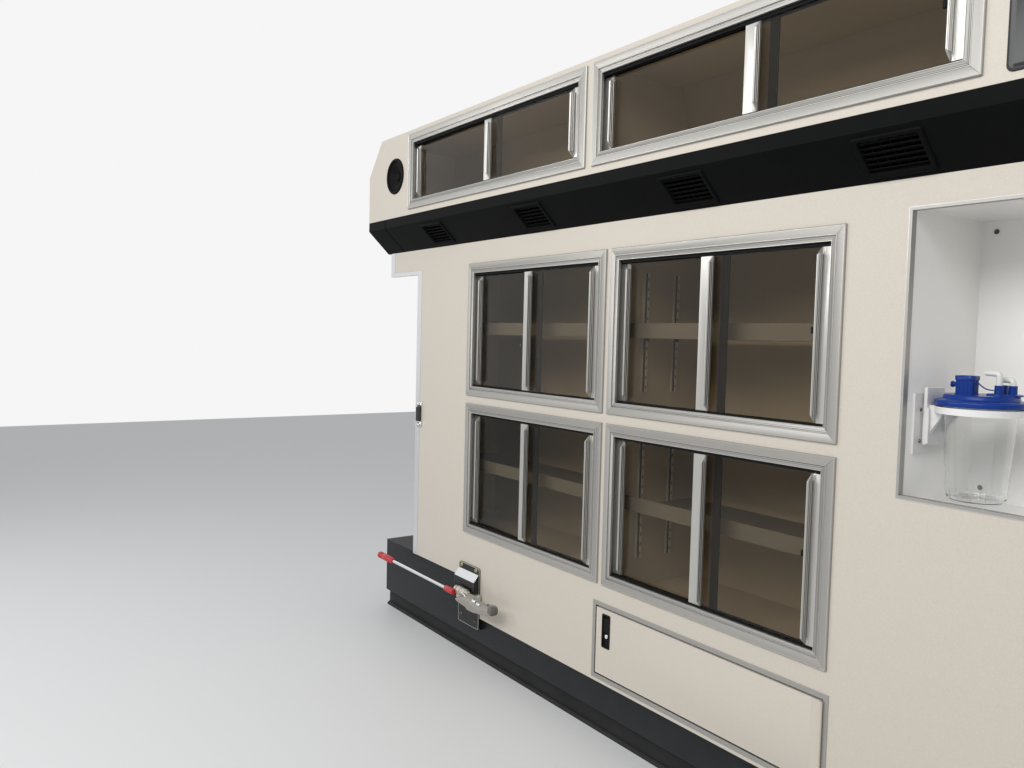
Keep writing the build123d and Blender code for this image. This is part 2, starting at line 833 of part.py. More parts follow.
# Blue lid with its skirt, tier, tower and hose ports
lid_base = canister_rim_z + ring_height + canister_wall + ring_fit
port_places = ((34, -6), (50, 14), (28, 26))
port_height = 20
port_radius = 8
canister_place = (canister_x, canister_depth)
tower_place = (canister_x - 22, canister_depth - 12)
lid_tier_base = lid_base + lid_skirt
lid_top = lid_tier_base + lid_tier
lid_parts = [
    tapered(floor_plane(lid_base), canister_place, lid_radius, lid_skirt - 3),
    tapered(floor_plane(lid_tier_base - 3), canister_place, lid_radius, 3, 45),
    tapered(floor_plane(lid_tier_base), canister_place, lid_tier_radius, lid_tier, 8),
    tapered(floor_plane(lid_top), tower_place, tower_radius, tower_height, 0, small_sides),
]
for x, y in port_places:
    port_place = (canister_x + x, canister_depth + y)
    lid_parts.append(tapered(floor_plane(lid_top), port_place, port_radius, port_height, 0, small_sides))
with BuildPart() as canister_lid:
    add(lid_parts)
save(canister_lid, "canister_lid")

# Clear tapered canister, and the clear hose elbows pushed onto two of the lid's ports
rim_flange = ring_fit + 3
elbow_base = lid_top + port_height
canister_floor = ring_z[1] - canister_height
canister_lean = -degrees(atan2(canister_top_radius - canister_base_radius, canister_height))
canister_skins = [
    tapered(floor_plane(low), canister_place, radius, canister_height, canister_lean)
    for low, radius in (
        (canister_floor, canister_base_radius),
        (canister_floor + canister_wall, canister_base_radius - canister_wall),
    )
]
rim_radius = canister_top_radius + rim_flange
canister_rim = tapered(floor_plane(ring_z[1]), canister_place, rim_radius, canister_wall)
with BuildPart() as canister:
    add([canister_skins[0], canister_rim])
    add(canister_skins[1], mode=Mode.SUBTRACT)
    for (x, y), rise in zip(port_places, (26, 14)):
        start = (rear_x + canister_x + x, face_y + canister_depth + y, elbow_base)
        corner = (start[0], start[1], elbow_base + rise)
        end = (start[0] - 26, start[1], elbow_base + rise)
        with BuildLine():
            Polyline(start, corner, end)
        with BuildSketch(Plane(origin=start, z_dir=(0, 0, 1))):
            RegularPolygon(5.5, 8)
        sweep(transition=Transition.RIGHT)
save(canister, "canister")

# Frame of the wide locker door: four bars with a kerf between them
door_outer = (door_frame_x, door_frame_z)
door_inner_x = (door_frame_x[0] + door_frame_face, door_frame_x[1] - door_frame_face)
door_inner_z = (door_frame_z[0] + door_frame_face, door_frame_z[1] - door_frame_face)
with BuildPart() as locker_door_frame:
    with BuildSketch(front_plane(0)):
        block(door_frame_x, door_frame_z)
        block(door_inner_x, door_inner_z, mode=Mode.SUBTRACT)
    extrude(amount=door_frame_proud)
    with BuildSketch(front_plane(door_frame_return)):
        block(
            (door_cut_x[0] + track_fit, door_cut_x[1] - track_fit),
            (door_cut_z[0] + track_fit, door_cut_z[1] - track_fit),
        )
        block(door_inner_x, door_inner_z, mode=Mode.SUBTRACT)
    extrude(amount=door_frame_return)
save(locker_door_frame, "locker_door_frame")

# Leaf of the wide locker door, with its hinge knuckle along the forward edge
leaf_x = (door_inner_x[0] + door_gap, door_inner_x[1] - door_gap)
leaf_z = (door_inner_z[0] + door_gap, door_inner_z[1] - door_gap)
hinge_x = door_inner_x[1] - door_gap / 2
hinge_depth = -door_frame_proud - hinge_knuckle
with BuildPart() as locker_door:
    with BuildSketch(front_plane(door_thick - door_frame_proud)):
        block(leaf_x, leaf_z)
        with Locations((latch_x, latch_z)):
            Rectangle(latch_width - 6, latch_height - 8, mode=Mode.SUBTRACT)
    extrude(amount=door_thick)
    with BuildSketch(floor_plane(leaf_z[0])):
        with Locations((hinge_x, hinge_depth)):
            Circle(hinge_knuckle)
        block((leaf_x[1] - 22, hinge_x), (hinge_depth + hinge_knuckle - 1.5, hinge_depth + hinge_knuckle))
    extrude(amount=leaf_z[1] - leaf_z[0])
save(locker_door, "locker_door")
print("locker hinge at", round(rear_x + hinge_x, 3), round(face_y + hinge_depth, 3))

# Flush slam latch in the leaf
latch_front = -door_frame_proud - latch_proud
with BuildPart() as locker_latch:
    with BuildSketch(front_plane(-door_frame_proud)):
        with Locations((latch_x, latch_z)):
            RectangleRounded(latch_width, latch_height, 3)
    extrude(amount=latch_proud)
    with BuildSketch(front_plane(latch_body)):
        with Locations((latch_x, latch_z)):
            Rectangle(latch_width - 7, latch_height - 9)
    extrude(amount=latch_body - door_frame_proud)
    with BuildSketch(front_plane(latch_front + 6)):
        with Locations((latch_x, latch_z + latch_height * 0.14)):
            RectangleRounded(latch_width - 10, latch_height * 0.55, 2)
    extrude(amount=6, mode=Mode.SUBTRACT)
save(locker_latch, "locker_latch")


def duct_section(inset):
    """Section of the air duct, drawn inwards by its wall for the inside."""
    return [
        (overhead_face_depth + inset, overhead_bottom - inset),
        (overhead_face_depth + inset, duct_fascia_low + inset * 0.42),
        (inset * 0.42, panel_top + inset),
        (duct_back - inset, panel_top + inset),
        (duct_back - inset, overhead_bottom - inset),
    ]


# Sloping face of the duct and the plane that its vents lie in
slope_rise = duct_fascia_low - panel_top
slope_length = (slope_rise**2 + overhead_reach**2) ** 0.5
slope_out = Vector(0, -slope_rise / slope_length, -overhead_reach / slope_length)
vent_opening = (vent_width - 2 * vent_border, vent_height - 2 * vent_border)


def vent_plane(along):
    """Plane on the sloping face at a vent's centre, looking out of the duct."""
    middle = (rear_x + along, face_y - overhead_reach / 2, panel_top + slope_rise / 2)
    return Plane(origin=middle, x_dir=(1, 0, 0), z_dir=slope_out)


# Duct and its separate end piece, both hollow
duct_runs = ((0, duct_cap_length), (duct_cap_length + duct_cap_gap, end_x))
with BuildPart() as air_duct:
    for start, end in duct_runs:
        with BuildSketch(side_plane(start)):
            outline(duct_section(0))
        extrude(amount=end - start)
        with BuildSketch(side_plane(start + duct_sheet)):
            outline(duct_section(duct_sheet))
        extrude(amount=end - start - 2 * duct_sheet, mode=Mode.SUBTRACT)
    for along in vent_centres_x:
        with BuildSketch(vent_plane(along)):
            Rectangle(vent_opening[0] + 4, vent_opening[1] + 4)
        extrude(amount=-2 * duct_sheet, mode=Mode.SUBTRACT)
    with BuildSketch(side_plane(end_x - 2 * duct_sheet)):
        block(inlet_d, inlet_z)
    extrude(amount=2 * duct_sheet, mode=Mode.SUBTRACT)
save(air_duct, "air_duct")

# Louvred vents: a bevelled border, level slats and thin upright ribs
slat_pitch = vent_opening[1] / vent_slats
rib_pitch = vent_opening[0] / (vent_ribs + 1)
with BuildPart() as duct_vents:
    for along in vent_centres_x:
        with BuildSketch(vent_plane(along)):
            Rectangle(vent_width, vent_height)
        extrude(amount=vent_proud, taper=35)
        with BuildSketch(vent_plane(along)):
            Rectangle(vent_opening[0], vent_opening[1])
        extrude(amount=vent_proud + 1, mode=Mode.SUBTRACT)
        with BuildSketch(vent_plane(along)):
            with GridLocations(0, slat_pitch, 1, vent_slats - 1):
                Rectangle(vent_opening[0] + 1, vent_slat)
            with GridLocations(rib_pitch, 0, vent_ribs, 1):
                Rectangle(vent_slat * 0.7, vent_opening[1] + 1)
        extrude(amount=vent_proud - 1)
save(duct_vents, "duct_vents")

# Overhead front panel with its clipped rear corner
speaker_cut = speaker_radius - 9
with BuildPart() as overhead_face:
    with BuildSketch(front_plane(overhead_face_depth + board)):
        outline([
            (0, overhead_bottom),
            (end_x, overhead_bottom),
            (end_x, wall_height),
            (corner_run, wall_height),
            (0, corner_low),
        ])
        for _, along, low in overhead_places:
            block(
                (along + cutout_inset, along + overhead_window_width - cutout_inset),
                (low + cutout_inset, low + overhead_window_height - cutout_inset),
                mode=Mode.SUBTRACT,
            )
        with Locations((speaker_x, speaker_z)):
            RegularPolygon(speaker_cut, round_sides, mode=Mode.SUBTRACT)
        with Locations((sum(control_x) / 2, sum(control_z) / 2)):
            Rectangle(control_x[1] - control_x[0] - 30, control_z[1] - control_z[0] - 30, mode=Mode.SUBTRACT)
    extrude(amount=board)
save(overhead_face, "overhead_face")

# Round speaker: raised ring, dished cone with its dust cap, and a magnet can behind
# rows: mode, depth it starts from, radius, reach towards the aisle and lean
speaker_rows = (
    (Mode.ADD, 0, speaker_radius, speaker_proud, 28),
    (Mode.ADD, board, speaker_cut - 1, board, 0),
    (Mode.ADD, board + speaker_can, speaker_radius * 0.5, speaker_can, -40),
    (Mode.SUBTRACT, 0, speaker_cut - 3, speaker_proud + 1, -20),
    (Mode.SUBTRACT, board - 4, speaker_radius * 0.5, board - 4, -55),
    (Mode.ADD, board - 4, speaker_cap, speaker_cap * 0.4, 50),
)
speaker_parts = [
    (mode, tapered(front_plane(overhead_face_depth + depth), (speaker_x, speaker_z), radius, reach, lean))
    for mode, depth, radius, reach, lean in speaker_rows
]
with BuildPart() as speaker:
    for mode, solid in speaker_parts:
        add(solid, mode=mode)
save(speaker, "speaker")

# Dark switch panel at the forward end of the overhead face
with BuildPart() as control_panel:
    with BuildSketch(front_plane(overhead_face_depth)):
        with Locations((sum(control_x) / 2, sum(control_z) / 2)):
            RectangleRounded(control_x[1] - control_x[0], control_z[1] - control_z[0], control_corner)
    extrude(amount=control_proud)
    with BuildSketch(front_plane(overhead_face_depth + control_thick)):
        with Locations((sum(control_x) / 2, sum(control_z) / 2)):
            Rectangle(control_x[1] - control_x[0] - 32, control_z[1] - control_z[0] - 32)
    extrude(amount=control_thick)
save(control_panel, "control_panel")

# Cot fastener: mounting plate packed out to the kick plate
with BuildPart() as clamp_plate:
    slab(clamp_x, (-clamp_sheet, 0), clamp_z)
    slab((clamp_x[0], panel_step_x - 0.5), (0, kick_front), (clamp_z[0], panel_rear_low_edge - 0.5))
    slab((panel_step_x - 0.5, clamp_x[1]), (0, kick_front), (clamp_z[0], panel_low_edge - 0.5))
save(clamp_plate, "clamp_plate")

# Bent bright hood over the clamp
with BuildPart() as clamp_hood:
    with BuildSketch(side_plane(clamp_x[0] + hood_inset)):
        outline([
            (-clamp_sheet, hood_top),
            (-hood_reach, hood_bend),
            (-hood_reach, hood_low),
            (-clamp_sheet, hood_low),
        ])
    extrude(amount=clamp_x[1] - clamp_x[0] - 2 * hood_inset)
    with BuildSketch(side_plane(clamp_x[0] + hood_inset + hood_sheet)):
        outline([
            (-clamp_sheet, hood_top - hood_sheet * 2),
            (-hood_reach + hood_sheet, hood_bend - hood_sheet),
            (-hood_reach + hood_sheet, hood_low - 1),
            (-clamp_sheet, hood_low - 1),
        ])
    extrude(amount=clamp_x[1] - clamp_x[0] - 2 * (hood_inset + hood_sheet), mode=Mode.SUBTRACT)
save(clamp_hood, "clamp_hood")

# Cast arm with its rising hook, and the boss that holds it to the plate
with BuildPart() as clamp_arm:
    with BuildSketch(front_plane(arm_depths[1])):
        outline(arm_outline)
    extrude(amount=arm_depths[1] - arm_depths[0])
    slab(arm_boss_x, (arm_depths[1], -clamp_sheet), arm_boss_z)
save(clamp_arm, "clamp_arm")

# Release rod, parallel to the wall, with its red grips
rod_x = (rod_rear_x, arm_outline[0][0])
rod_line = Plane(origin=(rear_x, face_y + rod_depth, rod_z), x_dir=(0, 1, 0), z_dir=(1, 0, 0))
with BuildPart() as release_rod:
    with BuildSketch(rod_line.offset(rod_x[0])):
        RegularPolygon(rod_radius, small_sides)
    extrude(amount=rod_x[1] - rod_x[0])
save(release_rod, "release_rod")

grip_parts = []
for start, length in ((rod_x[0] - 4, grip_length), (rod_x[1] - ferrule_length - 12, ferrule_length)):
    body, tip = rod_line.offset(start), rod_line.offset(start + length - 2.5)
    grip_parts.append(tapered(body, (0, 0), grip_radius, length - 2.5, 0, small_sides))
    grip_parts.append(tapered(tip, (0, 0), grip_radius, 2.5, 45, small_sides))
with BuildPart() as rod_grips:
    add(grip_parts)
    with BuildSketch(rod_line):
        RegularPolygon(rod_radius + 0.1, small_sides)
    extrude(amount=rod_x[1], mode=Mode.SUBTRACT)
save(rod_grips, "rod_grips")

# Rubber draw latch over the trim on the panel's rear edge
strap_hold = (strap_z[0] + strap_bracket, strap_z[1] - strap_bracket * 0.8)
strap_back = -trim_sheet
strap_body_x = (strap_x - strap_width / 2, strap_x + strap_width / 2)
strap_plate_x = (strap_body_x[0] - 3, strap_body_x[1] + 3)
with BuildPart() as strap_brackets:
    for low, high in ((strap_z[0], strap_hold[0]), (strap_hold[1], strap_z[1])):
        slab(strap_plate_x, (strap_back - 3, strap_back), (low, high))
        slab((panel_rear_x + trim_upright, strap_plate_x[1]), (strap_back, 0), (low, high))
        slab(strap_body_x, (-strap_reach, strap_back - 3), (low + 5, high - 5))
save(strap_brackets, "strap_brackets")

with BuildPart() as draw_strap:
    slab((strap_body_x[0] + 3, strap_body_x[1] - 3), (-strap_reach, strap_back), strap_hold)
save(draw_strap, "draw_strap")
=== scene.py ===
import bpy
import bmesh
import json
import math
from mathutils import Matrix, Vector


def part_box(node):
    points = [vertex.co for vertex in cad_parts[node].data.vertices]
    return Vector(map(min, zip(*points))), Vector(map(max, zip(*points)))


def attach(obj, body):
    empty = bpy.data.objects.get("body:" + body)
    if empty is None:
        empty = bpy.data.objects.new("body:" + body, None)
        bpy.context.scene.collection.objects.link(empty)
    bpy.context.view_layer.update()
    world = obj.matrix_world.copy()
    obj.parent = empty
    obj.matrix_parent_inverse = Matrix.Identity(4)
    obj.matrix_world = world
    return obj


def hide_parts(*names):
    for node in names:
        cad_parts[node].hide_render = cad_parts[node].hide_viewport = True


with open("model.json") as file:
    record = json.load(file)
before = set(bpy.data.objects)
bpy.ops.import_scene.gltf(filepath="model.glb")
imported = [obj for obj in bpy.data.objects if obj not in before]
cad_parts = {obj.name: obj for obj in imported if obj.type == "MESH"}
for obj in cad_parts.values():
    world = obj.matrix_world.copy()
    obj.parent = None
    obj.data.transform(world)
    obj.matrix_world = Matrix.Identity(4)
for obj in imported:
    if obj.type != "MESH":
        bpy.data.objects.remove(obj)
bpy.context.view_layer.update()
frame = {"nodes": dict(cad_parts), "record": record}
cadNodes = frame["nodes"]
bodyOf = {}
for bodyName, members in frame["record"]["behaviour"]["bodies"].items():
    for member in members:
        bodyOf[member] = bodyName

# Places are given as on the drawing: millimetres along the wall from its rear end,
# depth from the lower panel's face (minus is towards the aisle), height from the floor
wallStart = Vector((-1.375, -0.139, 0.0))


def wallPoint(along, depth, height):
    return wallStart + Vector((along, depth, height)) / 1000


def placeAt(along, depth, height, right, up):
    # local x runs right, local y runs up, local z stands out of the surface
    right, up = Vector(right).normalized(), Vector(up).normalized()
    turned = Matrix((right, up, right.cross(up))).transposed().to_4x4()
    turned.translation = wallPoint(along, depth, height)
    return turned


def facingAisle(along, depth, height):
    return placeAt(along, depth, height, (1, 0, 0), (0, 0, 1))


def facingUp(along, depth, height):
    return placeAt(along, depth, height, (1, 0, 0), (0, 1, 0))


# Shader groups that several finishes share

def newGroup(name, inputs, outputs):
    group = bpy.data.node_groups.new(name, "ShaderNodeTree")
    kinds = {"color": "NodeSocketColor", "value": "NodeSocketFloat", "vector": "NodeSocketVector"}
    for label, kind, default in inputs:
        socket = group.interface.new_socket(name=label, in_out="INPUT", socket_type=kinds[kind])
        if default is not None:
            socket.default_value = default
    for label, kind in outputs:
        group.interface.new_socket(name=label, in_out="OUTPUT", socket_type=kinds[kind])
    return group, group.nodes.new("NodeGroupInput"), group.nodes.new("NodeGroupOutput")


def addNode(tree, kind, settings=None, **values):
    node = tree.nodes.new(kind)
    for label, value in (settings or {}).items():
        setattr(node, label, value)
    for label, value in values.items():
        node.inputs[label.replace("_", " ")].default_value = value
    return node


def addObject(name, data):
    holder = bpy.data.objects.new(name, data)
    bpy.context.scene.collection.objects.link(holder)
    return holder


def newMaterial(name):
    material = bpy.data.materials.new(name)
    material.use_nodes = True
    return material, material.node_tree.nodes["Principled BSDF"]


def link(tree, *pairs):
    for source, target in pairs:
        tree.links.new(source, target)


def mixColors(tree, factor, first, second):
    node = addNode(tree, "ShaderNodeMix", {"data_type": "RGBA"})
    link(tree, (factor, node.inputs[0]), (first, node.inputs[6]), (second, node.inputs[7]))
    return node.outputs[2]


def mathNode(tree, operation, first=None, second=None):
    node = tree.nodes.new("ShaderNodeMath")
    node.operation = operation
    for socket, value in zip(node.inputs, (first, second)):
        if value is None:
            continue
        if isinstance(value, (int, float)):
            socket.default_value = value
        else:
            tree.links.new(value, socket)
    return node.outputs[0]


# Scales, strengths and shares that no finish changes
groupForm = {
    "scuffScale": 60.0, "edgeGain": 6.0, "smudgeScale": 7.0, "leastDust": 0.12, "dustRoughens": 0.5,
    "bumpStrength": 0.6, "clearBumpStrength": 0.4, "wornRoughness": 0.8,
}


def makeSurfaceGroup():
    # slow patches of a second colour, a fine grain, and a height for the bump
    tree, start, end = newGroup("surfaceGrain", (
        ("Vector", "vector", None), ("Stretch", "vector", (1, 1, 1)),
        ("Color", "color", (0.5, 0.5, 0.5, 1)), ("Patch Color", "color", (0.4, 0.4, 0.4, 1)),
        ("Patch Scale", "value", 3.0), ("Patch Amount", "value", 0.3),
        ("Grain Scale", "value", 400.0), ("Grain Amount", "value", 0.2),
        ("Roughness", "value", 0.5), ("Roughness Spread", "value", 0.1),
    ), (("Color", "color"), ("Roughness", "value"), ("Height", "value")))
    stretched = addNode(tree, "ShaderNodeVectorMath", {"operation": "MULTIPLY"})
    grain = addNode(tree, "ShaderNodeTexNoise", Detail=2.0, Roughness=0.6)
    patch = addNode(tree, "ShaderNodeTexNoise", Detail=3.0, Roughness=0.55)
    link(
        tree,
        (start.outputs["Vector"], stretched.inputs[0]),
        (start.outputs["Stretch"], stretched.inputs[1]),
        (stretched.outputs[0], grain.inputs["Vector"]),
        (start.outputs["Grain Scale"], grain.inputs["Scale"]),
        (start.outputs["Vector"], patch.inputs["Vector"]),
        (start.outputs["Patch Scale"], patch.inputs["Scale"]),
    )
    patchMask = mathNode(tree, "MULTIPLY", patch.outputs["Fac"], start.outputs["Patch Amount"])
    blended = mixColors(tree, patchMask, start.outputs["Color"], start.outputs["Patch Color"])
    centred = mathNode(tree, "SUBTRACT", grain.outputs["Fac"], 0.5)
    grainMask = mathNode(tree, "MULTIPLY", centred, start.outputs["Grain Amount"])
    lightness = mathNode(tree, "ADD", grainMask, 1.0)
    shaded = addNode(tree, "ShaderNodeVectorMath", {"operation": "SCALE"})
    link(tree, (blended, shaded.inputs[0]), (lightness, shaded.inputs["Scale"]))
    spread = mathNode(tree, "MULTIPLY", mathNode(tree, "SUBTRACT", patch.outputs["Fac"], 0.5),
                      start.outputs["Roughness Spread"])
    rough = mathNode(tree, "ADD", start.outputs["Roughness"], spread)
    link(
        tree,
        (shaded.outputs[0], end.inputs["Color"]),
        (rough, end.inputs["Roughness"]),
        (grain.outputs["Fac"], end.inputs["Height"]),
    )
    return tree


def makeWearGroup():
    # rubbed edges: a rounded normal is compared with the true one
    tree, start, end = newGroup("edgeWear", (
        ("Color", "color", (0.5, 0.5, 0.5, 1)), ("Roughness", "value", 0.5),
        ("Worn Color", "color", (0.7, 0.7, 0.7, 1)), ("Worn Roughness", "value", 0.3),
        ("Radius", "value", 0.002), ("Amount", "value", 0.5), ("Vector", "vector", None),
    ), (("Color", "color"), ("Roughness", "value")))
    rounded = addNode(tree, "ShaderNodeBevel", {"samples": 4})
    true = tree.nodes.new("ShaderNodeNewGeometry")
    dot = addNode(tree, "ShaderNodeVectorMath", {"operation": "DOT_PRODUCT"})
    scuff = addNode(tree, "ShaderNodeTexNoise", Scale=groupForm["scuffScale"], Detail=3.0)
    link(
        tree,
        (start.outputs["Radius"], rounded.inputs["Radius"]),
        (rounded.outputs["Normal"], dot.inputs[0]),
        (true.outputs["Normal"], dot.inputs[1]),
        (start.outputs["Vector"], scuff.inputs["Vector"]),
    )
    edge = mathNode(tree, "SUBTRACT", 1.0, dot.outputs["Value"])
    edge = mathNode(tree, "MULTIPLY", edge, groupForm["edgeGain"])
    edge = mathNode(tree, "MULTIPLY", edge, scuff.outputs["Fac"])
    edge = mathNode(tree, "MINIMUM", mathNode(tree, "MULTIPLY", edge, start.outputs["Amount"]), 1.0)
    worn = mixColors(tree, edge, start.outputs["Color"], start.outputs["Worn Color"])
    rough = tree.nodes.new("ShaderNodeMix")
    link(
        tree,
        (worn, end.inputs["Color"]),
        (edge, rough.inputs[0]),
        (start.outputs["Roughness"], rough.inputs[2]),
        (start.outputs["Worn Roughness"], rough.inputs[3]),
        (rough.outputs[0], end.inputs["Roughness"]),
    )
    return tree


def makeDustGroup():
    # a thin film of dust and smudges, thicker near the floor
    tree, start, end = newGroup("dustFilm", (
        ("Vector", "vector", None), ("Color", "color", (0.5, 0.5, 0.5, 1)), ("Roughness", "value", 0.5),
        ("Dust Color", "color", (0.5, 0.47, 0.42, 1)), ("Amount", "value", 0.1), ("Top", "value", 0.5),
    ), (("Color", "color"), ("Roughness", "value")))
    apart = tree.nodes.new("ShaderNodeSeparateXYZ")
    smudge = addNode(tree, "ShaderNodeTexNoise", Scale=groupForm["smudgeScale"], Detail=5.0, Roughness=0.7)
    link(tree, (start.outputs["Vector"], apart.inputs[0]), (start.outputs["Vector"], smudge.inputs["Vector"]))
    low = mathNode(tree, "DIVIDE", apart.outputs["Z"], start.outputs["Top"])
    low = mathNode(tree, "SUBTRACT", 1.0, low)
    low = mathNode(tree, "MAXIMUM", low, groupForm["leastDust"])
    mask = mathNode(tree, "MULTIPLY", low, smudge.outputs["Fac"])
    mask = mathNode(tree, "MULTIPLY", mask, start.outputs["Amount"])
    dusty = mixColors(tree, mask, start.outputs["Color"], start.outputs["Dust Color"])
    dull = mathNode(tree, "MULTIPLY", mask, groupForm["dustRoughens"])
    rough = mathNode(tree, "ADD", start.outputs["Roughness"], dull)
    link(tree, (dusty, end.inputs["Color"]), (rough, end.inputs["Roughness"]))
    return tree


surfaceGroup = makeSurfaceGroup()
wearGroup = makeWearGroup()
dustGroup = makeDustGroup()
print("shader groups ready")

